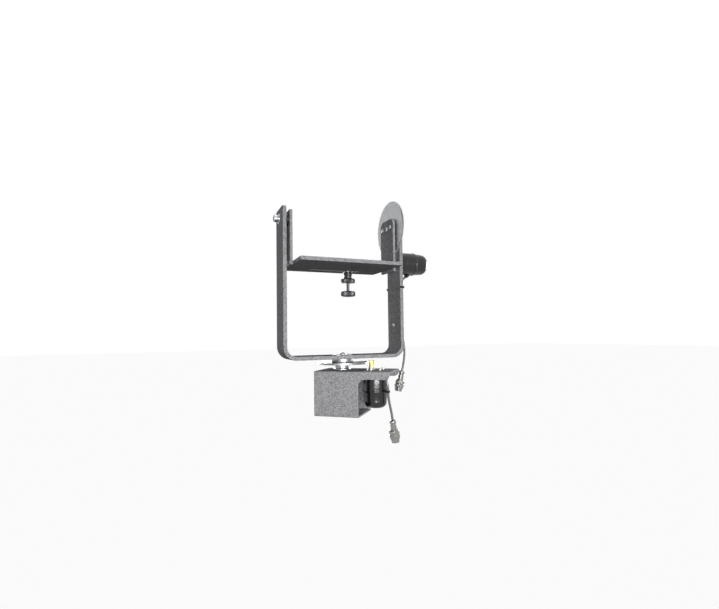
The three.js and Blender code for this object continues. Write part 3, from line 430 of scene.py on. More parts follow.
def signed_area(points):
    """Twice the area inside an outline, negative when it runs clockwise."""
    return sum(a.x * b.y - b.x * a.y for a, b in zip(points, points[1:] + points[:1]))


def offset_outline(points, distance):
    """A closed outline moved to its left by a distance."""
    moved = []
    for before, here, after in zip(points[-1:] + points[:-1], points, points[1:] + points[:1]):
        into, out = (here - before).normalized(), (after - here).normalized()
        left = Vector((-into.y - out.y, into.x + out.x))
        left = left.normalized() if left.length > 1e-6 else Vector((-into.y, into.x))
        share = max(left.dot(Vector((-into.y, into.x))), 0.35)
        moved.append(here + left * (distance / share))
    return moved


def add_plate(bm, outlines, low, high, place=Matrix(), edge=0.0):
    """Adds an outline with its holes as a solid along Z, its edges rounded by edge."""
    turns = [math.pi / 2 * k / CORNER_STEPS for k in range(CORNER_STEPS + 1)]
    rise = [(edge * (1 - math.sin(a)), edge * (1 - math.cos(a))) for a in turns]
    levels = [(inset, low + up) for inset, up in rise] if edge else [(0.0, low)]
    levels += [(inset, high - up) for inset, up in reversed(rise)] if edge else [(0.0, high)]
    made, floor_edges, roof_edges = [], [], []
    for k, outline in enumerate(outlines):
        points = [Vector(p) for p in outline]
        if (signed_area(points) > 0) != (k == 0):
            points.reverse()
        loops = []
        for inset, z in levels:
            moved = offset_outline(points, inset) if inset > 1e-6 else points
            loops.append([bm.verts.new((p.x, p.y, z)) for p in moved])
        made += [vert for loop in loops for vert in loop]
        add_bands(bm, loops, 0)
        for loop, edges in ((loops[0], floor_edges), (loops[-1], roof_edges)):
            edges += [bm.edges.get(pair) for pair in zip(loop, loop[1:] + loop[:1])]
    for edges in (floor_edges, roof_edges):
        bmesh.ops.triangle_fill(bm, edges=edges, use_beauty=True)
    bmesh.ops.transform(bm, matrix=place, verts=made)


def add_hex_socket(bm, flats, depth, outer, top, place=Matrix(), sides=SMALL_SIDES, slot=0):
    """Adds the face of a screw's head from its outer circle in, with a hexagonal recess."""
    angles = [2 * math.pi * k / sides for k in range(sides)]
    wall = [flats / 2 / math.cos(a % (math.pi / 3) - math.pi / 6) for a in angles]
    levels = (([outer] * sides, top), (wall, top), (wall, top - depth))
    rings = [[bm.verts.new(place @ Vector((r * math.cos(a), r * math.sin(a), z)))
              for a, r in zip(angles, reach)] for reach, z in levels]
    rings.append([bm.verts.new(place @ Vector((0.0, 0.0, top - depth - flats * 0.2)))])
    add_bands(bm, rings, slot)


def circle_outline(radius, x=0.0, y=0.0, sides=SMALL_SIDES):
    """A round outline."""
    angles = [2 * math.pi * k / sides for k in range(sides)]
    return [(x + radius * math.cos(a), y + radius * math.sin(a)) for a in angles]


def arc_points(x, y, radius, start, end, steps=ARC_STEPS):
    """Points along an arc between two angles in degrees."""
    angles = [math.radians(start + (end - start) * k / steps) for k in range(steps + 1)]
    return [(x + radius * math.cos(a), y + radius * math.sin(a)) for a in angles]


def rounded_outline(width, height, radius, x=0.0, y=0.0, steps=6):
    """A rectangle with round corners."""
    a, b = width / 2 - radius, height / 2 - radius
    return [point for cx, cy, start in ((a, -b, -90), (a, b, 0), (-a, b, 90), (-a, -b, 180))
            for point in arc_points(x + cx, y + cy, radius, start, start + 90, steps)]


def around(count, radius, first):
    """The places of count things evenly round a circle, the first at an angle in radians."""
    angles = [first + 2 * math.pi * k / count for k in range(count)]
    return [(radius * math.cos(a), radius * math.sin(a)) for a in angles]


def shell(name, bm):
    """Turns a bmesh in millimetres into a mesh object in metres and frees it."""
    bmesh.ops.remove_doubles(bm, verts=bm.verts, dist=2e-4)
    bmesh.ops.recalc_face_normals(bm, faces=bm.faces)
    bmesh.ops.scale(bm, vec=(MM, MM, MM), verts=bm.verts)
    mesh = bpy.data.meshes.new(name)
    bm.to_mesh(mesh)
    bm.free()
    made = bpy.data.objects.new(name, mesh)
    bpy.context.scene.collection.objects.link(made)
    return made


def cutter(profile, place=Matrix(), sides=ROUND_SIDES):
    """A turned solid to cut with."""
    bm = bmesh.new()
    add_turned(bm, profile, place, sides)
    return shell("round_cut", bm)


def drill(radius, low, high, place=Matrix()):
    """A round cutter along Z."""
    return cutter([(0, low), (radius, low), (radius, high), (0, high)], place)


def carve(target, cutters):
    """Cuts the solids of other objects out of one, for good, and removes them."""
    for tool in cutters:
        step = target.modifiers.new("cut", "BOOLEAN")
        step.object, step.operation, step.solver = tool, "DIFFERENCE", "EXACT"
    seen = target.evaluated_get(bpy.context.evaluated_depsgraph_get())
    carved = bpy.data.meshes.new_from_object(seen)
    target.modifiers.clear()
    target.data = carved
    for tool in cutters:
        bpy.data.objects.remove(tool)


def finish_piece(made, name, body, node, slot, place=Matrix(), bevel=0.0, more=()):
    """Names, places and shades a piece, hides the CAD node that it stands for and hangs it on its
    body. It has its slot's finish, and more are the finishes of faces with a higher index."""
    old = bpy.data.objects.get(name)
    if old and old is not made:
        bpy.data.objects.remove(old)
    made.name = name
    if made.type == "MESH":
        made.data.polygons.foreach_set("use_smooth", [True] * len(made.data.polygons))
        if bevel:
            rounding = made.modifiers.new("edges", "BEVEL")
            rounding.width, rounding.segments = bevel * MM, 3
            rounding.limit_method, rounding.angle_limit = "ANGLE", BEVELLED_EDGE
            rounding.use_clamp_overlap, rounding.harden_normals = False, True
        else:
            made.data.set_sharp_from_angle(angle=SHARP_EDGE)
            weighted = made.modifiers.new("shading", "WEIGHTED_NORMAL")
            weighted.weight, weighted.keep_sharp = 100, True
    made.data.materials.clear()
    for finish in (FINISHES[slot], *more):
        made.data.materials.append(finish_material(finish))
    moved = place.copy()
    moved.translation = place.translation * MM
    made.matrix_world = moved
    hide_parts(node)
    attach(made, body)
    return made


def piece(name, bm, body, node, slot, place=Matrix(), more=()):
    """One finished piece from a bmesh in millimetres."""
    return finish_piece(shell(name + "_new", bm), name, body, node, slot, place, more=more)


def turned_piece(name, body, node, slot, profile, place=Matrix(), **turning):
    """One finished piece that is turned from a single profile."""
    bm = bmesh.new()
    add_turned(bm, profile, **turning)
    return piece(name, bm, body, node, slot, place)


# Materials


def add_node(tree, kind, inputs=None, **settings):
    """Adds a node with its settings; an input is a value or another node's output."""
    made = tree.nodes.new(kind)
    for field, value in settings.items():
        setattr(made, field, value)
    for socket, value in (inputs or {}).items():
        if isinstance(value, bpy.types.NodeSocket):
            tree.links.new(value, made.inputs[socket])
        else:
            made.inputs[socket].default_value = value
    return made


def rgba(colour):
    """A colour as the four numbers that a socket takes."""
    return (*colour, 1.0)


def toned(colour, gain, lift=0.0):
    """A colour made lighter or darker."""
    return [min(c * gain + lift, 1.0) for c in colour]


def finish_material(finish):
    """The material that a finish makes, which has its name and is made once."""
    return bpy.data.materials.get(finish.__name__) or finish()


def emptied(owner):
    """The node tree of a material or world, with nothing in it."""
    owner.use_nodes = True
    owner.node_tree.nodes.clear()
    return owner.node_tree


def new_material(name):
    """A new material, its tree, and the place on the piece that its patterns follow."""
    made = bpy.data.materials.new(name)
    tree = emptied(made)
    return made, tree, add_node(tree, "ShaderNodeTexCoord").outputs["Object"]


def surface(tree, inputs):
    """Ends a material in one principled shader."""
    shader = add_node(tree, "ShaderNodeBsdfPrincipled", inputs)
    add_node(tree, "ShaderNodeOutputMaterial", {"Surface": shader.outputs["BSDF"]})


def hammered_enamel():
    """Hammered stove enamel, sprayed on bar and tube and baked: grey dimples in darker veins."""
    made, tree, place = new_material("hammered_enamel")
    cell = bpy.context.scene.head_sizes.hammer_cell
    # Real dimples are about 1.2 mm across; they are drawn a third wider so that they show here
    cells = add_node(tree, "ShaderNodeTexVoronoi", {
        "Vector": place, "Scale": 1 / cell, "Randomness": 0.9, "Smoothness": 0.6,
    }, feature="SMOOTH_F1")
    drift = add_node(tree, "ShaderNodeTexNoise", {
        "Vector": place, "Scale": 0.35 / cell, "Detail": 3.0, "Roughness": 0.6})
    flake = add_node(tree, "ShaderNodeTexNoise", {
        "Vector": place, "Scale": 1.5 / cell, "Detail": 2.0, "Roughness": 0.7})
    veins = add_node(tree, "ShaderNodeMapRange", {
        "Value": cells.outputs["Distance"], "From Min": 0.18, "From Max": 0.62})
    mottle = add_node(tree, "ShaderNodeMath", {
        0: veins.outputs["Result"], 1: drift.outputs["Fac"]}, operation="MULTIPLY")
    speck = add_node(tree, "ShaderNodeMath", {
        0: flake.outputs["Fac"], 1: 0.6, 2: mottle.outputs[0]}, operation="MULTIPLY_ADD")
    share = add_node(tree, "ShaderNodeMapRange", {
        "Value": speck.outputs[0], "From Min": 0.3, "From Max": 0.85})
    tone = add_node(tree, "ShaderNodeMix", {
        0: share.outputs["Result"], 6: rgba(colours().enamel), 7: rgba(colours().enamel_vein),
    }, data_type="RGBA")
    dullness = add_node(tree, "ShaderNodeMapRange", {
        "Value": speck.outputs[0], "To Min": 0.75, "To Max": 0.95})
    relief = add_node(tree, "ShaderNodeBump", {
        "Height": speck.outputs[0], "Strength": 0.55, "Distance": 0.25 * cell}, invert=True)
    # The dimples scatter what the film reflects; any specular would mirror the white surround
    surface(tree, {
        "Base Color": tone.outputs[2], "Metallic": 0.0, "Roughness": dullness.outputs["Result"],
        "IOR": 1.5, "Specular IOR Level": 0.0, "Normal": relief.outputs["Normal"]})
    return made


def turned_metal(name, colour, roughness, pitch_share=1.0, tarnish=0.12):
    """A metal turned in the lathe: fine tool marks round its axis and a slow change of tone."""
    made, tree, place = new_material(name)
    apart = add_node(tree, "ShaderNodeSeparateXYZ", {"Vector": place})
    flat = add_node(tree, "ShaderNodeCombineXYZ", {
        "X": apart.outputs["X"], "Y": apart.outputs["Y"]})
    radius = add_node(tree, "ShaderNodeVectorMath", {0: flat.outputs[0]}, operation="LENGTH")
    along = add_node(tree, "ShaderNodeMath", {
        0: radius.outputs["Value"], 1: apart.outputs["Z"]}, operation="ADD")
    # Tool marks are about 0.2 mm apart; they are drawn up to 0.8 mm apart to catch the light here
    pitch = bpy.context.scene.head_sizes.turning_pitch * pitch_share
    marks = add_node(tree, "ShaderNodeTexNoise", {
        "W": along.outputs[0], "Scale": 1 / pitch, "Detail": 3.0, "Roughness": 0.7,
    }, noise_dimensions="1D")
    # Bloom on a handled metal comes in clouds about 9 mm wide
    cloud = add_node(tree, "ShaderNodeTexNoise", {
        "Vector": place, "Scale": 1 / (9 * MM), "Detail": 4.0, "Roughness": 0.6})
    tone = add_node(tree, "ShaderNodeMix", {
        0: cloud.outputs["Fac"], 6: rgba(colour), 7: rgba(toned(colour, 1 - 2.2 * tarnish)),
    }, data_type="RGBA")
    dullness = add_node(tree, "ShaderNodeMapRange", {
        "Value": cloud.outputs["Fac"], "From Min": 0.3, "From Max": 0.7,
        "To Min": roughness * 0.8, "To Max": roughness * 1.35})
    relief = add_node(tree, "ShaderNodeBump", {
        "Height": marks.outputs["Fac"], "Strength": 0.35, "Distance": 0.03 * MM})
    surface(tree, {
        "Base Color": tone.outputs[2], "Metallic": 1.0, "Roughness": dullness.outputs["Result"],
        "Normal": relief.outputs["Normal"]})
    return made


def zinc_plated_steel():
    """Steel screws and shafts, zinc plated: bright with a faint cloudy bloom."""
    return turned_metal("zinc_plated_steel", colours().zinc, 0.28)


def machined_aluminium():
    """Aluminium gears and hubs, faced in the lathe and left bare: pale with fine rings."""
    return turned_metal("machined_aluminium", colours().aluminium, 0.34)


def cut_brass():
    """Brass pinions, hobbed and left bare: pale yellow with brighter tooth flanks."""
    return turned_metal("cut_brass", colours().brass, 0.3, 0.7, 0.08)


def nickel_plated_brass():
    """Nickel plated brass plugs: warm white, bright, and tarnished in patches by handling."""
    return turned_metal("nickel_plated_brass", colours().nickel, 0.22, 0.6, 0.22)


def grained(name, tones, grain, roughness, relief, shading):
    """A material whose tone, roughness and relief follow one grain: its width in millimetres,
    detail and fineness, then the range of roughness, and the relief's strength and depth."""
    made, tree, place = new_material(name)
    width, detail, fineness = grain
    cloud = add_node(tree, "ShaderNodeTexNoise", {
        "Vector": place, "Scale": 1 / (width * MM), "Detail": detail, "Roughness": fineness})
    tone = add_node(tree, "ShaderNodeMix", {
        0: cloud.outputs["Fac"], 6: rgba(tones[0]), 7: rgba(tones[1])}, data_type="RGBA")
    dullness = add_node(tree, "ShaderNodeMapRange", {
        "Value": cloud.outputs["Fac"], "To Min": roughness[0], "To Max": roughness[1]})
    bump = add_node(tree, "ShaderNodeBump", {
        "Height": cloud.outputs["Fac"], "Strength": relief[0], "Distance": relief[1] * MM})
    surface(tree, {
        "Base Color": tone.outputs[2], "Roughness": dullness.outputs["Result"],
        "Normal": bump.outputs["Normal"], **shading})
    return made


def black_oxide_steel():
    """Steel knobs, knurled and blacked in hot oxide: near black with a low oily shine."""
    colour = colours().black_oxide
    return grained("black_oxide_steel", (colour, toned(colour, 2.4, 0.004)), (3, 5.0, 0.65),
                   (0.2, 0.36), (0.15, 0.05), {"Metallic": 0.9})


def extruded_pvc():
    """PVC sheath, extruded over the cores: mid grey with a soft shine and faint scuffs."""
    colour = colours().cable
    return grained("extruded_pvc", (toned(colour, 1.25), toned(colour, 0.7)), (4, 4.0, 0.65),
                   (0.16, 0.34), (0.2, 0.08),
                   {"Metallic": 0.0, "IOR": 1.54, "Specular IOR Level": 0.7})


def moulded_black(name, colour, roughness):
    """A black moulding with the fine dull grain of its mould."""
    # Spark eroded grain is about 0.05 mm and is drawn eight times that
    return grained(name, (colour, toned(colour, 1.8, 0.004)), (0.4, 3.0, 0.7),
                   (roughness * 0.8, roughness * 1.2), (0.2, 0.04),
                   {"Metallic": 0.0, "IOR": 1.53, "Specular IOR Level": 0.25})


def moulded_nylon():
    """Nylon ties, clip, glands and bushes, injection moulded: black with a fine dull grain."""
    return moulded_black("moulded_nylon", colours().nylon, 0.42)


def phenolic_insert():
    """Phenolic insert inside a plug, pressed: dark brown black and half matt."""
    return moulded_black("phenolic_insert", colours().insulator, 0.5)


def dipped_vinyl():
    """Soft vinyl boots, dip moulded: deep black and wet looking, with slow ripples."""
    made, tree, place = new_material("dipped_vinyl")
    colour = colours().boot
    apart = add_node(tree, "ShaderNodeSeparateXYZ", {"Vector": place})
    # The dip drains down the former, so the ripples lie across it
    across = add_node(tree, "ShaderNodeMath", {0: apart.outputs["Z"], 1: 2.6}, operation="MULTIPLY")
    drained = add_node(tree, "ShaderNodeCombineXYZ", {
        "X": apart.outputs["X"], "Y": apart.outputs["Y"], "Z": across.outputs[0]})
    ripple = add_node(tree, "ShaderNodeTexNoise", {
        "Vector": drained.outputs[0], "Scale": 1 / (30 * MM), "Detail": 1.5, "Roughness": 0.4})
    dust = add_node(tree, "ShaderNodeTexNoise", {
        "Vector": place, "Scale": 1 / (0.9 * MM), "Detail": 3.0, "Roughness": 0.7})
    film = add_node(tree, "ShaderNodeMapRange", {
        "Value": dust.outputs["Fac"], "From Min": 0.55, "From Max": 0.8, "To Max": 0.35})
    tone = add_node(tree, "ShaderNodeMix", {
        0: film.outputs["Result"], 6: rgba(colour), 7: rgba(toned(colour, 3.0, 0.005)),
    }, data_type="RGBA")
    dullness = add_node(tree, "ShaderNodeMapRange", {
        "Value": ripple.outputs["Fac"], "From Min": 0.35, "From Max": 0.65,
        "To Min": 0.18, "To Max": 0.32})
    # Fine runs between the ripples are about 0.5 mm wide and are drawn eight times that
    runs = add_node(tree, "ShaderNodeTexNoise", {
        "Vector": drained.outputs[0], "Scale": 1 / (4 * MM), "Detail": 1.0, "Roughness": 0.4})
    fine = add_node(tree, "ShaderNodeBump", {
        "Height": runs.outputs["Fac"], "Strength": 1.0, "Distance": 0.15 * MM})
    relief = add_node(tree, "ShaderNodeBump", {
        "Height": ripple.outputs["Fac"], "Strength": 1.0, "Distance": 1.0 * MM,
        "Normal": fine.outputs["Normal"]})
    surface(tree, {
        "Base Color": tone.outputs[2], "Metallic": 0.0, "Roughness": dullness.outputs["Result"],
        "IOR": 1.53, "Specular IOR Level": 0.5, "Normal": relief.outputs["Normal"]})
    return made


# The finish of each of the record's slots
FINISHES = {
    "hammer_paint": hammered_enamel, "zinc_steel": zinc_plated_steel,
    "aluminium": machined_aluminium, "brass": cut_brass, "nickel": nickel_plated_brass,
    "black_metal": black_oxide_steel, "black_rubber": dipped_vinyl, "grey_vinyl": extruded_pvc,
    "black_nylon": moulded_nylon,
}


# Stage


def build_camera():
    """Camera at the picture's place, turned by yaw, pitch and roll, shifted to its horizon."""
    data = bpy.data.cameras.new("photo_camera")
    data.lens = FOCAL_PIXELS * SENSOR_WIDTH / IMAGE_SIZE[0]
    data.sensor_width = SENSOR_WIDTH
    data.shift_y = (PRINCIPAL_ROW - IMAGE_SIZE[1] / 2) / IMAGE_SIZE[0]
    data.clip_start = 0.01
    made = bpy.data.objects.new("photo_camera", data)
    bpy.context.scene.collection.objects.link(made)
    yaw = Matrix.Rotation(-CAMERA_YAW, 4, "Z")
    pitch = Matrix.Rotation(math.pi / 2 + CAMERA_PITCH, 4, "X")
    roll = Matrix.Rotation(-CAMERA_ROLL, 4, "Z")
    made.matrix_world = Matrix.Translation(Vector(EYE) * MM) @ yaw @ pitch @ roll
    bpy.context.scene.camera = made


def build_lamps():
    """Large soft lamps round the head."""
    for name, turn, height, distance, width, watts in LAMPS:
        data = bpy.data.lights.new(name, "AREA")
        data.shape, data.size, data.energy = "DISK", width, watts
        data.spread = LAMP_SPREAD
        lamp = bpy.data.objects.new(name, data)
        bpy.context.scene.collection.objects.link(lamp)
        out = Matrix.Rotation(math.radians(turn), 3, "Z") @ Matrix.Rotation(
            math.radians(-height), 3, "X") @ Vector((0, -1, 0))
        lamp.location = LAMP_TARGET + out * distance
        lamp.rotation_mode = "QUATERNION"
        lamp.rotation_quaternion = (-out).to_track_quat("-Z", "Y")


def seen_directly(tree):
    """1 for camera, glossy and transmission rays, else 0."""
    path = add_node(tree, "ShaderNodeLightPath")
    either = add_node(tree, "ShaderNodeMath", {
        0: path.outputs["Is Camera Ray"], 1: path.outputs["Is Glossy Ray"]}, operation="MAXIMUM")
    return add_node(tree, "ShaderNodeMath", {
        0: either.outputs[0], 1: path.outputs["Is Transmission Ray"]},
        operation="MAXIMUM").outputs[0]


def build_world():
    """A little even light, with a white background for what is seen or mirrored."""
    world = bpy.data.worlds.new("studio")
    tree = emptied(world)
    light, white = (add_node(tree, "ShaderNodeBackground", {"Color": WHITE, "Strength": strength})
                    for strength in (AMBIENT, 1.0))
    mixed = add_node(tree, "ShaderNodeMixShader", {
        0: seen_directly(tree), 1: light.outputs[0], 2: white.outputs[0]})
    add_node(tree, "ShaderNodeOutputWorld", {"Surface": mixed.outputs[0]})
    bpy.context.scene.world = world


def build_floor():
    """Plain pale floor well below the head, near white where it is seen, with the head's shadow."""
    bm = bmesh.new()
    bmesh.ops.create_grid(bm, x_segments=1, y_segments=1, size=FLOOR_SIZE / 2 / MM)
    made = shell("studio_floor", bm)
    made.location.z = -FLOOR_DROP
    material = bpy.data.materials.new("studio_floor")
    tree = emptied(material)
    matt = add_node(tree, "ShaderNodeBsdfDiffuse", {"Color": rgba(colours().floor)})
    glow = add_node(tree, "ShaderNodeEmission", {"Color": WHITE, "Strength": 1.0})
    share = add_node(tree, "ShaderNodeMath", {0: seen_directly(tree), 1: FLOOR_WHITE},
                     operation="MULTIPLY")
    mixed = add_node(tree, "ShaderNodeMixShader", {
        0: share.outputs[0], 1: matt.outputs[0], 2: glow.outputs[0]})
    add_node(tree, "ShaderNodeOutputMaterial", {"Surface": mixed.outputs[0]})
    made.data.materials.append(material)


# Leads


def lead_stretch(points, k):
    """Start, end and their tangents for one stretch of a centripetal curve through points."""
    here, on = points[k], points[k + 1]
    before = points[k - 1] if k else here * 2 - on
    after = points[k + 2] if k + 2 < len(points) else on * 2 - here
    gaps = [(b - a).length ** 0.5 for a, b in ((before, here), (here, on), (on, after))]
    leave = (here - before) / gaps[0] - (on - before) / (gaps[0] + gaps[1]) + (on - here) / gaps[1]
    reach = (on - here) / gaps[1] - (after - here) / (gaps[1] + gaps[2]) + (after - on) / gaps[2]
    return here, on, leave * gaps[1], reach * gaps[1]


def route_point(points, place):
    """Point and direction on a lead at a place counted in route points."""
    k = min(int(place), len(points) - 2)
    t = place - k
    start, end, leave, reach = lead_stretch(points, k)
    a, b = end - start, leave + reach
    point = start + leave * t + (a * 3 - leave - b) * t ** 2 + (b - a * 2) * t ** 3
    direction = leave + (a * 3 - leave - b) * 2 * t + (b - a * 2) * 3 * t ** 2
    return point, direction.normalized()


def lead_route(name):
    """A lead's route in the CAD's frame, in millimetres."""
    if name == "pan":
        return [BASE_PLACE @ Vector(p) for p in PAN_ROUTE]
    return [Vector(p) for p in TILT_ROUTE]


def nearest_on_lead(name, miss):
    """Point and direction on a lead at the spot that misses by least."""
    points = lead_route(name)
    spots = [route_point(points, k / LEAD_SPOTS) for k in range(LEAD_SPOTS * (len(points) - 1))]
    return min(spots, key=lambda spot: miss(spot[0]))


def lead_beside(node):
    """Point on the tilt lead at the height of a CAD node's middle."""
    height = middle(node).z
    return nearest_on_lead("tilt", lambda point: abs(point.z - height))[0]


def frame_along(point, direction):
    """A frame at a point whose Z looks along a direction."""
    turn = Vector((0, 0, 1)).rotation_difference(direction)
    return Matrix.Translation(point) @ turn.to_matrix().to_4x4()


def lead_curve(name, body):
    """A lead's sheath as one open spline."""
    points = lead_route(name)
    data = bpy.data.curves.new(f"{name}_lead_new", "CURVE")
    data.dimensions = "3D"
    data.resolution_u = CABLE_STEPS
    data.bevel_depth = bpy.context.scene.head_sizes.cable_diameter / 2
    data.bevel_resolution = 6
    data.use_fill_caps = True
    spline = data.splines.new("BEZIER")
    spline.bezier_points.add(len(points) - 1)
    for k, knot in enumerate(spline.bezier_points):
        knot.handle_left_type = knot.handle_right_type = "FREE"
        knot.co = points[k] * MM
        knot.handle_left = knot.handle_right = knot.co
    for k in range(len(points) - 1):
        start, end, leave, reach = lead_stretch(points, k)
        spline.bezier_points[k].handle_right = (start + leave / 3) * MM
        spline.bezier_points[k + 1].handle_left = (end - reach / 3) * MM
    made = bpy.data.objects.new(f"{name}_lead_new", data)
    bpy.context.scene.collection.objects.link(made)
    return finish_piece(made, f"{name}_lead", body, f"{name}_cable", "grey_vinyl")


def lead_gland(name, body):
    """Tapered strain relief with ribs, where a lead leaves its boot."""
    ribs_start = -GLAND_LENGTH * 0.58
    step = GLAND_LENGTH * 0.5 / GLAND_RIBS
    profile = [(0, -GLAND_LENGTH), (GLAND_ROOT, -GLAND_LENGTH), (GLAND_ROOT, ribs_start, 0.4)]
    for k in range(GLAND_RIBS):
        high = GLAND_ROOT - (GLAND_ROOT - GLAND_MOUTH) * (k + 1) / GLAND_RIBS
        start = ribs_start + k * step
        profile += [(high - 0.45, start + 0.3, 0.15), (high - 0.45, start + step * 0.45, 0.15),
                    (high, start + step * 0.55, 0.2), (high, start + step, 0.2)]
    profile += [(GLAND_MOUTH, -0.4, 0.3), (0, -0.4)]
    turned_piece(f"{name}_lead_gland", body, f"{name}_cable_gland", "black_nylon", profile,
                 frame_along(*route_point(lead_route(name), 0)), sides=SMALL_SIDES)


def pan_lead_tie():
    """Nylon tie pulled round the pan lead, with its lock and cut tail."""
    centre = middle("pan_cable_tie")
    place = frame_along(*nearest_on_lead("pan", lambda point: (point - centre).length))
    inner = size("cable_diameter") / 2 + 0.1
    bm = bmesh.new()
    add_ring(bm, inner, inner + 1.2, -1.8, 1.8, 0.2, 0.4, sides=SMALL_SIDES)
    add_plate(bm, [rounded_outline(4.2, 4.6, 0.6, -(inner + 2.6), 0)], -1.9, 1.9, edge=0.4)
    add_plate(bm, [rounded_outline(1.1, 2.8, 0.3, -(inner + 3.4), 3.4)], -1.5, 1.5, edge=0.2)
    piece("pan_lead_tie", bm, "base", "pan_cable_tie", "black_nylon", place)


def arm_lead_tie():
    """Nylon tie pulled round the arm and the tilt lead beside it."""
    low, high = corners("arm_cable_tie")
    lead = lead_beside("arm_cable_tie")
    thin, arm = 1.2, highest("yoke_frame").x
    inner_x, outer_x = arm - size("bar_thickness") - SEAT_GAP, arm + SEAT_GAP
    half = size("bar_width") / 2 + SEAT_GAP

    def outline(extra):
        radius = size("cable_diameter") / 2 + 0.8 + extra
        bulge = [(lead.x + radius * math.cos(k / 8), lead.y + radius * math.sin(k / 8))
                 for k in range(-8, 9)]
        return [(inner_x - extra, -half - extra), (outer_x + extra, -half - extra), *bulge,
                (outer_x + extra, half + extra), (inner_x - extra, half + extra)]

    bm = bmesh.new()
    add_plate(bm, [outline(thin), outline(0)], low.z, high.z, edge=0.35)
    lock = rounded_outline(4.4, 4.0, 0.6, inner_x + 2.4, half + thin - 0.6)
    add_plate(bm, [lock], low.z - 0.6, high.z + 0.6, edge=0.4)
    piece("arm_lead_tie", bm, "yoke", "arm_cable_tie", "black_nylon")


def arm_lead_clip():
    """Nylon clip that holds the tilt lead to the arm, and its screw through the arm."""
    low, high = corners("cable_clip")
    lead = lead_beside("cable_clip")
    strap = [(low.x, lead.y), (low.x + 1.2, lead.y), (low.x + 1.2, high.y), (low.x, high.y)]
    bm = bmesh.new()
    add_plate(bm, [strap], low.z, high.z, edge=0.3)
    add_ring(bm, size("cable_diameter") / 2 + BORE_GAP, lead.x - low.x, low.z, high.z, 0.2, 0.4,
             shift(lead.x, lead.y, 0), SMALL_SIDES)
    piece("arm_lead_clip", bm, "yoke", "cable_clip", "black_nylon")
    low, high = corners("clip_screw")
    spot = middle("clip_screw")
    inner_face = highest("yoke_frame").x - size("bar_thickness") - SEAT_GAP
    piece("arm_clip_screw", socket_screw(CLIP_SCREW, high.x - low.x), "yoke", "clip_screw",
          "zinc_steel", shift(inner_face, spot.y, spot.z) @ AGAINST_X)


# Forms that more than one group uses


def toothed_outline(teeth):
    """Outline of a gear with involute flanks, one tooth centred on +X."""
    pitch = TOOTH_MODULE * teeth / 2
    base = pitch * math.cos(PRESSURE_ANGLE)
    tip, root = pitch + TOOTH_MODULE, pitch - 1.25 * TOOTH_MODULE
    at_pitch = (math.pi * TOOTH_MODULE / 2 - TOOTH_BACKLASH) / (2 * pitch)

    def half_angle(radius):
        roll = math.acos(min(base / radius, 1.0))
        return at_pitch + math.tan(PRESSURE_ANGLE) - PRESSURE_ANGLE - (math.tan(roll) - roll)

    start = max(root, base)
    flank = [(root, half_angle(start))] if root < base else []
    for k in range(FLANK_STEPS + 1):
        radius = start + (tip - start) * k / FLANK_STEPS
        flank.append((radius, half_angle(radius)))
    points = []
    for tooth in range(teeth):
        centre = 2 * math.pi * tooth / teeth
        rising = [(radius, centre - half) for radius, half in flank]
        falling = [(radius, centre + half) for radius, half in reversed(flank)]
        points += [(radius * math.cos(a), radius * math.sin(a)) for radius, a in rising + falling]
    return points


def fluted(count, depth, least):
    """A ripple that cuts finger grooves into the radii over a least one."""
    def ripple(radius, height, angle):
        return radius - (depth * (0.5 - 0.5 * math.cos(count * angle)) if radius > least else 0.0)
    return ripple


def knurled(count, depth, least, low, high):
    """A ripple that cuts a straight knurl into the radii over a least one, between two heights."""
    def ripple(radius, height, angle):
        worked = radius > least and low < height < high
        return radius - (depth if worked and round(angle * count / math.pi) % 2 else 0.0)
    return ripple


def socket_screw(kind, total):
    """A screw of a kind and whole length, its head up along +Z from the origin: the head is
    knurled or domed, with a hex socket."""
    head_radius, head_height, shank_radius, flats, dome = kind
    edge, rim, length = size("plated_edge"), flats * 0.64, total - head_height
    profile = [(0, -length), (shank_radius, -length, edge), (shank_radius, 0)]
    if dome:
        sides, ripple = SMALL_SIDES, None
        profile += [(head_radius, 0, edge * 0.4), (head_radius, head_height * 0.3, dome),
                    (head_radius * 0.72, head_height * 0.86, dome), (rim, head_height)]
    else:
        sides = 2 * SMALL_SIDES
        ripple = knurled(36, 0.09, head_radius - 0.01, edge, head_height - edge * 1.2)
        profile += [(head_radius, 0, edge * 0.5), (head_radius, head_height, edge),
                    (rim, head_height)]
    bm = bmesh.new()
    add_turned(bm, profile, sides=sides, ripple=ripple)
    add_hex_socket(bm, flats, head_height * 0.62, rim, head_height, sides=sides)
    return bm


def sunk_screw(length):
    """A countersunk screw of a whole length, its flat top at the origin, with a hex socket."""
    head_radius, head_height, shank_radius, flats = SUNK_SCREW
    rim, top = flats * 0.64, -0.02
    bm = bmesh.new()
    add_turned(bm, [(0, -length), (shank_radius, -length, 0.3), (shank_radius, -head_height),
                    (head_radius - 0.1, -0.15), (head_radius - 0.1, top, 0.05), (rim, top)],
               sides=SMALL_SIDES)
    add_hex_socket(bm, flats, head_height * 0.7, rim, top)
    return bm


# Plugs


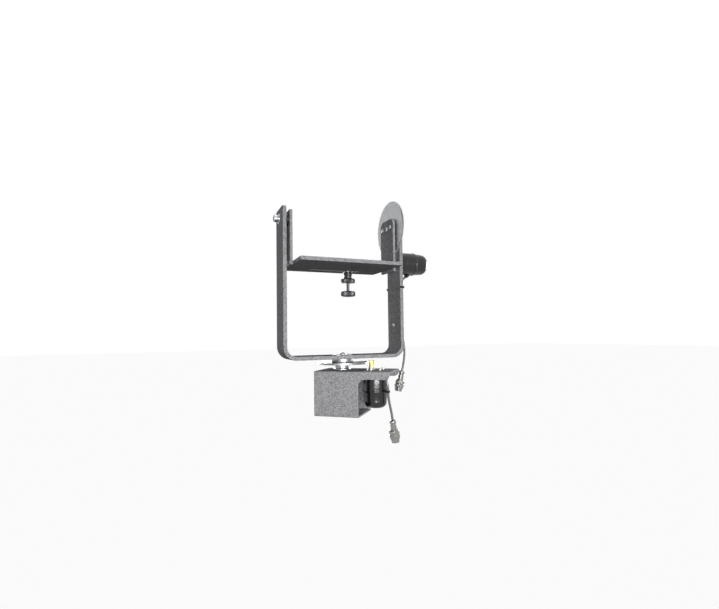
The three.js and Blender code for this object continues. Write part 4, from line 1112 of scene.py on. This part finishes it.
def plug_shell(name, body, place):
    """Cable clamp, grooved sleeve, and barrel round an insert with five pins."""
    clamp, sleeve, barrel = PLUG_CLAMP_RADIUS, PLUG_SLEEVE_RADIUS, PLUG_BARREL_RADIUS
    insert = barrel - 1.1
    step, barrel_start, end = -PLUG_CLAMP_LENGTH, -PLUG_NUT_START - 2.0, -PLUG_LENGTH
    bm = bmesh.new()
    add_turned(bm, [
        (0, -0.2), (3.4, -0.2, 0.5), (4.6, -1.0, 0.5), (clamp - 0.4, -1.2, 0.6),
        (clamp, -2.4, 0.4), (clamp, -4.4, 0.4), (clamp - 0.5, step, 0.3), (sleeve, step, 0.2),
        (sleeve, step - 1.6, 0.2), (sleeve - 0.4, step - 1.9, 0.2),
        (sleeve - 0.4, step - 2.6, 0.2), (sleeve, step - 2.9, 0.2), (sleeve, barrel_start),
        (barrel, barrel_start), (barrel, end, 0.4), (barrel - 1.0, end, 0.2),
        (barrel - 1.0, end + 3.2), (0, end + 3.2),
    ], sides=PLUG_SIDES)
    add_turned(bm, [(0, end + 1.0), (insert, end + 1.0, 0.3), (insert, end + 3.3),
                    (0, end + 3.3)], sides=PLUG_SIDES, slot=1)
    pin = [(0, end + 0.1), (0.55, end + 0.1, 0.3), (0.55, end + 1.2), (0, end + 1.2)]
    for x, y in [(0, 0)] + around(4, 3.3, math.pi / 4):
        add_turned(bm, pin, shift(x, y, 0), sides=12, slot=2)
    piece(f"{name}_plug_shell", bm, body, f"{name}_plug_body", "nickel", place,
          more=(phenolic_insert, cut_brass))


def plug_coupling(name, body, place):
    """Coupling nut: two grooved grip bands with plain lands between."""
    top, radius = -PLUG_NUT_START, PLUG_NUT_RADIUS
    end, inside = top - PLUG_NUT_LENGTH, top - 1.7
    bore, lip = PLUG_BARREL_RADIUS + BORE_GAP, PLUG_SLEEVE_RADIUS + BORE_GAP
    turned_piece(f"{name}_plug_coupling", body, f"{name}_plug_nut", "nickel", [
        (lip, inside), (lip, top, 0.3), (radius - 1.3, top, 0.5), (radius - 0.2, top - 1.6, 0.3),
        (radius, top - 2.0, 0.2), (radius, top - 6.4, 0.2), (radius - 0.7, top - 6.9, 0.2),
        (radius - 0.7, top - 8.0, 0.2), (radius, top - 8.5, 0.2), (radius, top - 13.0, 0.2),
        (radius - 0.8, top - 13.6, 0.3), (radius - 0.8, end, 0.6), (bore, end, 0.3),
        (bore, inside),
    ], place, closed=True, sides=120, ripple=fluted(PLUG_NUT_FLUTES, 0.45, radius - 0.05))


# Base and pan bearing


def base_tube_housing():
    """The base's square tube, with the motor's bay and the round holes cut out of it."""
    tube = size("tube_side")
    inside, roof = tube - 2 * TUBE_WALL, tube - TUBE_WALL - OVERCUT
    bm = bmesh.new()
    add_plate(bm, [rounded_outline(tube, tube, TUBE_CORNER),
                   rounded_outline(inside, inside, TUBE_CORNER / 2)],
              0, BASE_LEFT + BASE_RIGHT, shift(-BASE_LEFT, 0, tube / 2) @ ALONG_X)
    housing = shell("base_new", bm)
    centres = TOOTH_MODULE * (PINION_TEETH + PAN_GEAR_TEETH) / 2
    carve(housing, [
        bay_cutter(tube),
        drill(SOCKET_RADIUS, -OVERCUT, TUBE_WALL + OVERCUT),
        drill(BEARING_BODY + BORE_GAP, roof, tube + OVERCUT),
        drill(BOSS_RADIUS + BORE_GAP, roof, tube + OVERCUT, shift(centres, 0, 0)),
    ])
    finish_piece(housing, "base_tube_housing", "base", "base_housing", "hammer_paint", BASE_PLACE,
                 size("painted_edge"))


def bay_cutter(tube):
    """The motor bay's outline, extruded across the tube."""
    roof, round_end = tube - LIP_HEIGHT, LIP_END_RADIUS
    outline = [
        (COLUMN_RIGHT, -OVERCUT),
        *arc_points(COLUMN_RIGHT + BAY_FILLET, roof - BAY_FILLET, BAY_FILLET, 180, 90),
        *arc_points(BASE_RIGHT - round_end, roof + round_end, round_end, -90, 0),
        (BASE_RIGHT + OVERCUT, roof + round_end), (BASE_RIGHT + OVERCUT, -OVERCUT),
    ]
    bm = bmesh.new()
    add_plate(bm, [outline], -tube, tube, ACROSS_Y)
    return shell("bay_cut", bm)


def stand_nut():
    """Hexagon nut for the stand's screw, with chamfered corners."""
    low, high = corners("mount_nut")
    chamfer = (high.x - low.x + high.y - low.y) / 4 * 1.02 * 0.8
    hexagon = around(6, STAND_NUT_FLATS / 2 / math.cos(math.pi / 6), BASE_TURN)
    bm = bmesh.new()
    add_plate(bm, [hexagon, circle_outline(STAND_NUT_BORE)], low.z, high.z, edge=0.6)
    add_turned(bm, [(STAND_NUT_BORE, low.z + 0.5), (chamfer, low.z - 0.15, 0.3),
                    (chamfer, low.z + 1.0), (STAND_NUT_BORE, low.z + 1.0)], closed=True,
               sides=SMALL_SIDES)
    piece("stand_nut", bm, "base", "mount_nut", "zinc_steel")


def pan_bearing_bush():
    """Flanged bush in the base's roof, with a groove round its face."""
    low, high = corners("pan_bearing")
    edge, groove = size("plated_edge"), high.z - 0.35
    seat = highest("base_housing").z + SEAT_GAP
    turned_piece("pan_bearing_bush", "base", "pan_bearing", "zinc_steel", [
        (SHAFT_BORE, low.z, edge), (BEARING_BODY, low.z, edge), (BEARING_BODY, seat),
        (BEARING_RADIUS, seat, edge), (BEARING_RADIUS, high.z, 0.6), (12.2, high.z, 0.2),
        (11.9, groove, 0.1), (11.2, groove, 0.1), (10.9, high.z, 0.2),
        (SHAFT_BORE, high.z, edge),
    ], closed=True)


def pan_bearing_ring():
    """Ring nut with six notches for its spanner."""
    low, high = corners("pan_bearing_nut")
    outline = []
    for start in range(0, 360, 60):
        outline += arc_points(0, 0, RING_NUT_RADIUS, start + 6, start + 54, 8)
        outline += arc_points(0, 0, RING_NUT_RADIUS - 2, start + 55, start + 65, 2)
    bm = bmesh.new()
    add_plate(bm, [outline, circle_outline(BEARING_BODY + BORE_GAP, sides=48)], low.z, high.z,
              edge=0.4)
    piece("pan_bearing_ring", bm, "base", "pan_bearing_nut", "zinc_steel", BASE_PLACE)


def pan_shaft():
    """Pan shaft, bored down its middle from the top."""
    low, high = corners("pan_shaft")
    edge = size("plated_edge")
    turned_piece("pan_shaft_turned", "yoke", "pan_shaft", "zinc_steel", [
        (0, low.z + 1.2), (1.2, low.z, 0.1), (SHAFT_RADIUS, low.z, 0.8),
        (SHAFT_RADIUS, high.z, edge), (3.3, high.z, edge), (3.3, high.z - 12), (0, high.z - 12),
    ])


def pan_shaft_collar():
    """The collar that holds the pan shaft up, with its set screw."""
    low, high = corners("shaft_collar")
    radius = COLLAR_RADIUS
    place = shift(0, 0, (low.z + high.z) / 2) @ ALONG_X
    bm = bmesh.new()
    add_ring(bm, SHAFT_BORE, radius, low.z, high.z, size("plated_edge"), 0.7)
    add_turned(bm, [(0, radius - 3), (2.1, radius - 3), (2.1, radius - 0.3, 0.2),
                    (1.6, radius - 0.1)], place, SMALL_SIDES)
    add_hex_socket(bm, 2.4, 1.4, 1.6, radius - 0.1, place)
    piece("pan_shaft_collar", bm, "yoke", "shaft_collar", "zinc_steel")


# Motors


def motor_boot(name, body, place):
    """Vinyl boot: a mouth bead, the gearbox's drum, a ridge, and a tail with a round end."""
    end, ridge, rounding = BOOT_END, BOOT_RIDGE, BOOT_ROUND_END
    profile = [
        (0, -54.9), (17.5, -54.9, 1.0), (17.5, -27.0), (18.8, -27.0), (18.8, -0.3, 0.3),
        (21.0, -0.3, 0.8), (21.0, -3.2, 0.5), (20.75, -3.8, 0.4), (20.75, ridge + 0.5, 0.4),
        (21.5, ridge, 0.5), (21.5, ridge - 1.6, 0.6), (20.4, ridge - 2.1, 0.6),
        (20.2, ridge - 3.4, 0.8),
    ]
    for k in range(13):
        angle = math.pi / 2 * k / 12
        profile.append((BOOT_TAIL - rounding + rounding * math.cos(angle),
                        end + rounding - rounding * math.sin(angle)))
    profile += [(3.0, end, 0.4), (2.6, end + 0.4, 0.2), (0, end + 0.4)]
    turned_piece(f"{name}_boot", body, f"{name}_motor_boot", "black_rubber", profile,
                 place @ shift(MOTOR_OFFSET, 0, 0), sides=96)


def motor_screws(name, body, place):
    """The four cap screws through the wall into the motor's face."""
    wall = motor_wall(name)
    for k, (x, y) in enumerate(around(4, MOTOR_SCREW_CIRCLE, math.pi / 4), 1):
        screw = socket_screw(MOTOR_SCREW, wall + MOTOR_SCREW_REACH)
        piece(f"{name}_motor_cap_screw_{k}", screw, body, f"{name}_motor_screw_{k}", "zinc_steel",
              place @ shift(x + MOTOR_OFFSET, y, wall + SEAT_GAP))


def output_shaft(name, body, place):
    """Motor shaft with a centre drilled end."""
    node = f"{name}_motor_shaft"
    start, radius = OUTPUT_SHAFT_START, OUTPUT_SHAFT_RADIUS
    length = start + side(node, 2 if name == "pan" else 0) / MM
    turned_piece(f"{name}_output_shaft", body, node, "zinc_steel", [
        (0, start), (radius, start, 0.3), (radius, length, 0.5), (0.9, length, 0.1),
        (0, length - 0.9)], place, sides=SMALL_SIDES)


def brass_pinion(name, body, place):
    """Brass pinion: hobbed teeth and a plain hub, with a set screw where there is room for it."""
    face, rise = {"pan": (7.2, 8.8), "tilt": (4.8, 2.9)}[name]
    rise += motor_wall(name)
    start = PINION_HUB_START
    turn = Matrix.Rotation(math.pi / PINION_TEETH, 2)
    teeth = [tuple(turn @ Vector(p)) for p in toothed_outline(PINION_TEETH)]
    bm = bmesh.new()
    add_plate(bm, [teeth, circle_outline(PINION_BORE)], rise, rise + face, edge=0.15)
    add_turned(bm, [(PINION_BORE, start, 0.2), (PINION_HUB, start, 0.3),
                    (PINION_HUB, rise - 0.4, 0.2), (PINION_HUB - 0.4, rise, 0.1),
                    (PINION_HUB - 0.4, rise + 0.6), (PINION_BORE, rise + 0.6)], closed=True,
               sides=SMALL_SIDES)
    if name == "pan":
        round_turn = Matrix.Rotation(PINION_SCREW_TURN, 4, "Z")
        spot = round_turn @ shift(0, 0, (start + rise) / 2) @ ALONG_X
        add_turned(bm, [(0, 3.4), (1.6, 3.4), (1.6, 4.75, 0.1), (1.25, 4.85)], spot, SMALL_SIDES,
                   slot=1)
        add_hex_socket(bm, 1.9, 1.2, 1.25, 4.85, spot, slot=1)
    piece(f"{name}_brass_pinion", bm, body, f"{name}_pinion", "brass", place,
          more=(black_oxide_steel,))


# Pan gear and yoke


def pan_spur_gear():
    """Pan gear with its boss, bored for the hub's screws."""
    low, high = corners("pan_gear")
    edge, under = size("plated_edge"), high.z - GEAR_THICKNESS
    holes = [circle_outline(SCREW_HOLE, x, y, HOLE_SIDES)
             for x, y in around(4, HUB_SCREW_CIRCLE, math.pi / 4 - BASE_TURN)]
    bm = bmesh.new()
    add_plate(bm, [toothed_outline(PAN_GEAR_TEETH), circle_outline(SHAFT_BORE), *holes], under,
              high.z, edge=GEAR_EDGE)
    add_turned(bm, [(SHAFT_BORE, low.z, edge), (GEAR_BOSS, low.z, edge),
                    (GEAR_BOSS, under - 0.6, 0.5), (GEAR_BOSS + 0.8, under + 0.1),
                    (SHAFT_BORE, under + 0.1)], closed=True)
    bmesh.ops.transform(bm, matrix=BASE_PLACE, verts=bm.verts)
    piece("pan_spur_gear", bm, "yoke", "pan_gear", "aluminium")


def pan_hub_disc():
    """Hub between the gear and the yoke's bar."""
    low, high = corners("pan_hub")
    bm = bmesh.new()
    add_ring(bm, SHAFT_BORE, HUB_RADIUS, low.z, high.z, size("plated_edge"), 0.5)
    piece("pan_hub_disc", bm, "yoke", "pan_hub", "aluminium")


def hub_screws():
    """Domed shaft bolt, and four countersunk screws flush with the yoke's bar."""
    top = lowest("yoke_frame").z + size("bar_thickness")
    piece("pan_dome_bolt", socket_screw(DOME_BOLT, DOME_BOLT_LENGTH), "yoke", "pan_shaft_bolt",
          "zinc_steel", shift(0, 0, top + SEAT_GAP))
    for k, (x, y) in enumerate(around(4, HUB_SCREW_CIRCLE, math.pi / 4), 1):
        node = f"pan_hub_screw_{k}"
        piece(f"pan_hub_sunk_screw_{k}", sunk_screw(top - lowest(node).z), "yoke", node,
              "zinc_steel", shift(x, y, top))


def rounded_off(radius, depth):
    """How far a rounding draws a side in, at a depth below the end."""
    left = radius - min(depth, radius)
    return radius - math.sqrt(radius ** 2 - left ** 2)


def bent_bar():
    """The bar, swept along its bent line; its arms' ends are rounded across their width."""
    edge, thick = size("painted_edge"), size("bar_thickness")
    low, high = corners("yoke_frame")
    arm_x = size("yoke_width") / 2 - thick / 2
    bend_x, bend_z = arm_x - thick / 2 - BEND_RADIUS, low.z + thick + BEND_RADIUS
    depths = [0.0, 0.12, 0.35, edge, 1.2, 1.8, 2.6, 3.6, ARM_END_RADIUS]
    stations = [(Vector((-arm_x, high.z - depth)), Vector((-1, 0)), depth) for depth in depths]
    for x, first in ((-bend_x, 1.0), (bend_x, 1.5)):
        for k in range(ARC_STEPS + 1):
            angle = math.pi * (first + k / ARC_STEPS / 2)
            out = Vector((math.cos(angle), math.sin(angle)))
            stations.append((Vector((x, bend_z)) + out * (BEND_RADIUS + thick / 2), out, None))
    stations += [(Vector((arm_x, high.z - depth)), Vector((1, 0)), depth)
                 for depth in reversed(depths)]
    bm = bmesh.new()
    rings = []
    for point, out, depth in stations:
        half_wide, half_thick = size("bar_width") / 2, thick / 2
        if depth is not None:
            taken = rounded_off(edge, depth)
            half_wide -= rounded_off(ARM_END_RADIUS, depth) + taken
            half_thick -= taken
        section = rounded_outline(2 * half_thick, 2 * half_wide, min(edge, half_thick * 0.9),
                                  steps=3)
        spots = [(point + out * across, along) for across, along in section]
        rings.append([bm.verts.new((spot.x, y, spot.y)) for spot, y in spots])
    add_bands(bm, rings, 0)
    bm.faces.new(rings[0])
    bm.faces.new(rings[-1])
    return shell("yoke_new", bm)


def yoke_bent_bar():
    """The bent bar, bored for the tilt bushes and the tilt motor's boss, and countersunk."""
    top = lowest("yoke_frame").z + size("bar_thickness")
    bar = bent_bar()
    cutters = [
        drill(BUSH_RADIUS + BORE_GAP, -PAST_ARMS, PAST_ARMS,
              shift(0, 0, middle("left_pivot_bolt").z) @ ALONG_X),
        drill(BOSS_RADIUS + BORE_GAP, 60, PAST_ARMS,
              shift(0, 0, middle("tilt_motor_shaft").z) @ ALONG_X),
    ]
    for x, y in around(4, HUB_SCREW_CIRCLE, math.pi / 4):
        cutters.append(cutter([
            (0, top - 10), (SCREW_HOLE, top - 10), (SCREW_HOLE, top - 1.9), (4.0, top),
            (4.0, top + OVERCUT), (0, top + OVERCUT)], shift(x, y, 0), SMALL_SIDES))
    carve(bar, cutters)
    finish_piece(bar, "yoke_bent_bar", "yoke", "yoke_frame", "hammer_paint")


def flanged_bush(name, turn):
    """Flanged nylon bush in an arm."""
    node = f"{name}_tilt_bush"
    near, far = sorted(abs(corner.x) for corner in corners(node))
    seat = size("yoke_width") / 2 - size("bar_thickness") - SEAT_GAP
    turned_piece(f"{name}_flanged_bush", "yoke", node, "black_nylon", [
        (PIVOT_BORE, near, 0.3), (11.0, near, 0.5), (11.0, seat, 0.4), (BUSH_RADIUS, seat),
        (BUSH_RADIUS, far, 0.3), (PIVOT_BORE, far, 0.3),
    ], shift(0, 0, middle(node).z) @ turn, closed=True)


# Cradle


def camera_plate():
    """The tray, with the slot that the camera screw slides along."""
    low, high = corners("camera_tray")
    slot = arc_points(SLOT_HALF, SLOT_Y, SLOT_RADIUS, -90, 90)
    slot += arc_points(-SLOT_HALF, SLOT_Y, SLOT_RADIUS, 90, 270)
    outer = rounded_outline(size("tray_length"), size("tray_depth"), TRAY_CORNER)
    bm = bmesh.new()
    add_plate(bm, [outer, slot], low.z, high.z, edge=size("painted_edge"))
    piece("camera_plate", bm, "cradle", "camera_tray", "hammer_paint")


def flat_upright(name):
    """Flat upright with round shoulders, drilled for its pivot bolt and screws."""
    node = f"{name}_upright"
    width, corner, spread = UPRIGHTS[name]
    low, high = corners(node)
    tilt_z, screw_z = middle("left_pivot_bolt").z, middle("camera_tray").z
    holes = [(-spread, screw_z), (spread, screw_z)]
    if name == "right":
        holes += [(-GEAR_SCREW_OFFSET, tilt_z), (GEAR_SCREW_OFFSET, tilt_z)]
    shoulder_y, shoulder_z = width / 2 - corner, high.z - corner
    outline = [(-width / 2, low.z), (width / 2, low.z),
               *arc_points(shoulder_y, shoulder_z, corner, 0, 90),
               *arc_points(-shoulder_y, shoulder_z, corner, 90, 180)]
    cuts = [circle_outline(PIVOT_BORE, 0, tilt_z)]
    cuts += [circle_outline(SCREW_HOLE, y, z, HOLE_SIDES) for y, z in holes]
    bm = bmesh.new()
    add_plate(bm, [outline, *cuts], low.x, high.x, STANDING, edge=size("painted_edge"))
    piece(f"{name}_flat_upright", bm, "cradle", node, "hammer_paint")


def button_screws():
    """Button head screws through the uprights, and the two that hold the tilt gear."""
    names = [f"{name}_upright_screw_{k}" for name in UPRIGHTS for k in (1, 2)]
    for node in names + ["gear_screw_1", "gear_screw_2"]:
        low, high = corners(node)
        spot, head = middle(node), BUTTON_SCREW[1]
        outward = node.startswith("right")
        place = shift(high.x - head if outward else low.x + head, spot.y, spot.z)
        piece(node.replace("screw", "button_screw"), socket_screw(BUTTON_SCREW, high.x - low.x),
              "cradle", node, "zinc_steel", place @ (ALONG_X if outward else AGAINST_X))


def tilt_spur_gear():
    """Tilt gear with the disc that stiffens it and its hub."""
    hub, thick = 1.0, GEAR_THICKNESS
    holes = [circle_outline(SCREW_HOLE, 0, y, HOLE_SIDES)
             for y in (-GEAR_SCREW_OFFSET, GEAR_SCREW_OFFSET)]
    inner = [circle_outline(PIVOT_BORE), *holes]
    bm = bmesh.new()
    add_plate(bm, [toothed_outline(TILT_GEAR_TEETH), *inner], 0, thick, edge=GEAR_EDGE)
    add_plate(bm, [circle_outline(21.0, sides=64), *inner], thick - 0.3, thick + 0.9, edge=0.2)
    add_turned(bm, [(PIVOT_BORE, -hub, 0.2), (11.0, -hub, 0.4), (11.0, 0.5), (PIVOT_BORE, 0.5)],
               closed=True)
    place = shift(highest("tilt_gear").x - hub, 0, middle("left_pivot_bolt").z)
    piece("tilt_spur_gear", bm, "cradle", "tilt_gear", "aluminium", place @ SIDEWAYS)


def shoulder_bolt(name, turn, sign):
    """Pivot bolt with a flange, a knurled head and a hexagon socket."""
    flange, flange_high, head, head_high, socket_rim = 8.5, 1.6, 6.5, 8.0, 3.9
    top = flange_high + head_high
    node = f"{name}_pivot_bolt"
    low, high = corners(node)
    seat, length = max(abs(low.x), abs(high.x)) - top, high.x - low.x - top
    bm = bmesh.new()
    add_turned(bm, [
        (0, -length), (4.0, -length, 0.5), (4.0, 0), (flange, 0, 0.2),
        (flange, flange_high, 0.5), (head - 0.4, flange_high + 0.1, 0.2),
        (head - 0.4, flange_high + 1.4, 0.2), (head, flange_high + 1.8, 0.2),
        (head, top - 0.9, 0.2), (head - 0.8, top, 0.3), (socket_rim, top),
    ], sides=96, ripple=knurled(48, 0.22, head - 0.05, flange_high + 1.6, top - 1.2))
    add_hex_socket(bm, 6.0, 4.0, socket_rim, top, sides=96)
    piece(f"{name}_shoulder_bolt", bm, "cradle", node, "zinc_steel",
          shift(sign * seat, 0, middle(node).z) @ turn)


# Camera screw


def tray_washer(place):
    """Washer that carries the camera screw along the tray's slot."""
    low, high = corners("slot_washer")
    bm = bmesh.new()
    add_ring(bm, STUD_BORE, 9.0, low.z, high.z, 0.2, 0.3)
    piece("tray_washer", bm, "screw_carriage", "slot_washer", "zinc_steel", place)


def camera_stud(place):
    """Quarter inch stud with its thread cut as ridges at the thread's pitch."""
    low, high = corners("camera_screw")
    tray = lowest("camera_tray").z
    profile = [(0, low.z), (THREAD_CREST, low.z, 0.2), (THREAD_CREST, tray - 14.0)]
    z = tray - 13.4
    while z + THREAD_PITCH < high.z - 0.8:
        profile += [(THREAD_ROOT, z), (THREAD_CREST, z + THREAD_PITCH / 2)]
        z += THREAD_PITCH
    profile += [(THREAD_ROOT, z), (THREAD_ROOT, high.z, 0.4), (0, high.z)]
    turned_piece("camera_stud", "camera_screw", "camera_screw", "black_metal", profile, place,
                 sides=SMALL_SIDES)


def camera_lock_wheel(place):
    """Lock wheel: a plain hub over a knurled disc."""
    low, high = corners("lock_wheel")
    base, disc, top = low.z, low.z + 8.3, high.z
    turned_piece("camera_lock_wheel", "lock_wheel", "lock_wheel", "black_metal", [
        (STUD_BORE, base, 0.3), (11.6, base, 0.4), (13.2, base + 1.3, 0.4),
        (13.2, disc - 1.3, 0.4), (11.6, disc, 0.4), (9.2, disc, 0.3), (8.2, disc - 0.5, 0.3),
        (7.75, disc - 0.3, 0.2), (7.75, top, 0.7), (STUD_BORE, top, 0.3),
    ], place, closed=True, sides=KNOB_SIDES, ripple=fluted(48, 0.55, 12.9))


def camera_thumb_knob(place):
    """Thumb knob on the stud's lower end, knurled and dished."""
    low, high = corners("camera_knob")
    base, top = low.z, high.z
    turned_piece("camera_thumb_knob", "camera_screw", "camera_knob", "black_metal", [
        (0, base + 1.2), (7.5, base + 1.2, 0.8), (9.5, base, 0.6), (11.8, base, 0.4),
        (13.5, base + 1.4, 0.4), (13.5, top - 1.4, 0.4), (11.8, top, 0.4), (7.0, top, 0.3),
        (6.2, top - 0.6, 0.3), (STUD_BORE, top - 0.6, 0.2), (STUD_BORE, top - 6.0),
        (0, top - 6.0),
    ], place, sides=KNOB_SIDES, ripple=fluted(48, 0.55, 13.2))


# Operators


class HEAD_OT_stage(bpy.types.Operator):
    """Make the camera, the soft lamps, the white surround and the floor"""

    bl_idname = "head.stage"
    bl_label = "Stage"

    def execute(self, context):
        build_camera()
        build_lamps()
        build_world()
        build_floor()
        return {"FINISHED"}


class HEAD_OT_plugs(bpy.types.Operator):
    """Make the two nickel plated plugs with their inserts and coupling nuts"""

    bl_idname = "head.plugs"
    bl_label = "Plugs"

    def execute(self, context):
        for name, body in STILL_BODIES.items():
            route = lead_route(name)
            end, direction = route_point(route, len(route) - 1)
            place = frame_along(end + direction * PLUG_GAP, -direction)
            plug_shell(name, body, place)
            plug_coupling(name, f"{name}_coupling", place)
        return {"FINISHED"}


class HEAD_OT_leads(bpy.types.Operator):
    """Make the two leads with their glands, ties and clip"""

    bl_idname = "head.leads"
    bl_label = "Leads"

    def execute(self, context):
        pan = lead_curve("pan", "base")
        tilt = lead_curve("tilt", "yoke")
        for name, body in STILL_BODIES.items():
            lead_gland(name, body)
        pan_lead_tie()
        arm_lead_tie()
        arm_lead_clip()
        return {"FINISHED"}


class HEAD_OT_base(bpy.types.Operator):
    """Make the base housing from square tube, with the stand's nut welded inside"""

    bl_idname = "head.base"
    bl_label = "Base housing"

    def execute(self, context):
        base_tube_housing()
        stand_nut()
        return {"FINISHED"}


class HEAD_OT_pan_bearing(bpy.types.Operator):
    """Make the pan bearing, its ring nut, the shaft and its collar"""

    bl_idname = "head.pan_bearing"
    bl_label = "Pan bearing"

    def execute(self, context):
        pan_bearing_bush()
        pan_bearing_ring()
        pan_shaft()
        pan_shaft_collar()
        return {"FINISHED"}


class HEAD_OT_motors(bpy.types.Operator):
    """Make both gear motors' boots, screws, shafts and pinions"""

    bl_idname = "head.motors"
    bl_label = "Motors and pinions"

    def execute(self, context):
        for name, body in STILL_BODIES.items():
            place = motor_place(name)
            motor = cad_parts[f"{name}_gear_motor"]
            motor.data.materials.clear()
            motor.data.materials.append(finish_material(zinc_plated_steel))
            motor_boot(name, body, place)
            motor_screws(name, body, place)
            output_shaft(name, f"{name}_drive", place)
            brass_pinion(name, f"{name}_drive", place)
        return {"FINISHED"}


class HEAD_OT_pan_gear(bpy.types.Operator):
    """Make the pan gear, the hub over it and the screws that hold them to the yoke"""

    bl_idname = "head.pan_gear"
    bl_label = "Pan gear and hub"

    def execute(self, context):
        pan_spur_gear()
        pan_hub_disc()
        hub_screws()
        return {"FINISHED"}


class HEAD_OT_yoke(bpy.types.Operator):
    """Make the yoke by bending a flat bar, and its two tilt bushes"""

    bl_idname = "head.yoke"
    bl_label = "Yoke"

    def execute(self, context):
        yoke_bent_bar()
        flanged_bush("left", AGAINST_X)
        flanged_bush("right", ALONG_X)
        return {"FINISHED"}


class HEAD_OT_cradle(bpy.types.Operator):
    """Make the tray, its two uprights and their screws"""

    bl_idname = "head.cradle"
    bl_label = "Cradle"

    def execute(self, context):
        camera_plate()
        for name in UPRIGHTS:
            flat_upright(name)
        button_screws()
        return {"FINISHED"}


class HEAD_OT_tilt_drive(bpy.types.Operator):
    """Make the tilt gear and the two pivot bolts"""

    bl_idname = "head.tilt_drive"
    bl_label = "Tilt gear and pivots"

    def execute(self, context):
        tilt_spur_gear()
        shoulder_bolt("left", AGAINST_X, -1)
        shoulder_bolt("right", ALONG_X, 1)
        return {"FINISHED"}


class HEAD_OT_camera_screw(bpy.types.Operator):
    """Make the camera screw with its washer, lock wheel and knob"""

    bl_idname = "head.camera_screw"
    bl_label = "Camera screw"

    def execute(self, context):
        axis = middle("camera_screw")
        for make in (tray_washer, camera_stud, camera_lock_wheel, camera_thumb_knob):
            make(shift(axis.x, axis.y, 0))
        return {"FINISHED"}


class HEAD_PT_sidebar(bpy.types.Panel):
    """Lists the operators that build the head, with its sizes and colours"""

    bl_idname = "HEAD_PT_sidebar"
    bl_label = "Pan Tilt Head"
    bl_space_type = "VIEW_3D"
    bl_region_type = "UI"
    bl_category = "Pan Tilt Head"

    def draw(self, context):
        for operator in OPERATORS:
            self.layout.operator(operator.bl_idname)
        for group in (context.scene.head_sizes, context.scene.head_colours):
            box = self.layout.box()
            for name in group.bl_rna.properties.keys():
                if name not in ("rna_type", "name"):
                    box.prop(group, name)


OPERATORS = (
    HEAD_OT_stage, HEAD_OT_plugs, HEAD_OT_leads, HEAD_OT_base, HEAD_OT_pan_bearing,
    HEAD_OT_motors, HEAD_OT_pan_gear, HEAD_OT_yoke, HEAD_OT_cradle, HEAD_OT_tilt_drive,
    HEAD_OT_camera_screw,
)
CLASSES = (HeadSizes, HeadColours, *OPERATORS, HEAD_PT_sidebar)


def register():
    for cls in CLASSES:
        bpy.utils.register_class(cls)
    bpy.types.Scene.head_sizes = bpy.props.PointerProperty(type=HeadSizes)
    bpy.types.Scene.head_colours = bpy.props.PointerProperty(type=HeadColours)


def unregister():
    del bpy.types.Scene.head_colours
    del bpy.types.Scene.head_sizes
    for cls in reversed(CLASSES):
        bpy.utils.unregister_class(cls)


def main():
    """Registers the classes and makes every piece."""
    register()
    bpy.context.scene.view_settings.view_transform = "Standard"
    for operator in OPERATORS:
        group, name = operator.bl_idname.split(".")
        getattr(getattr(bpy.ops, group), name)()


if __name__ == "__main__":
    main()
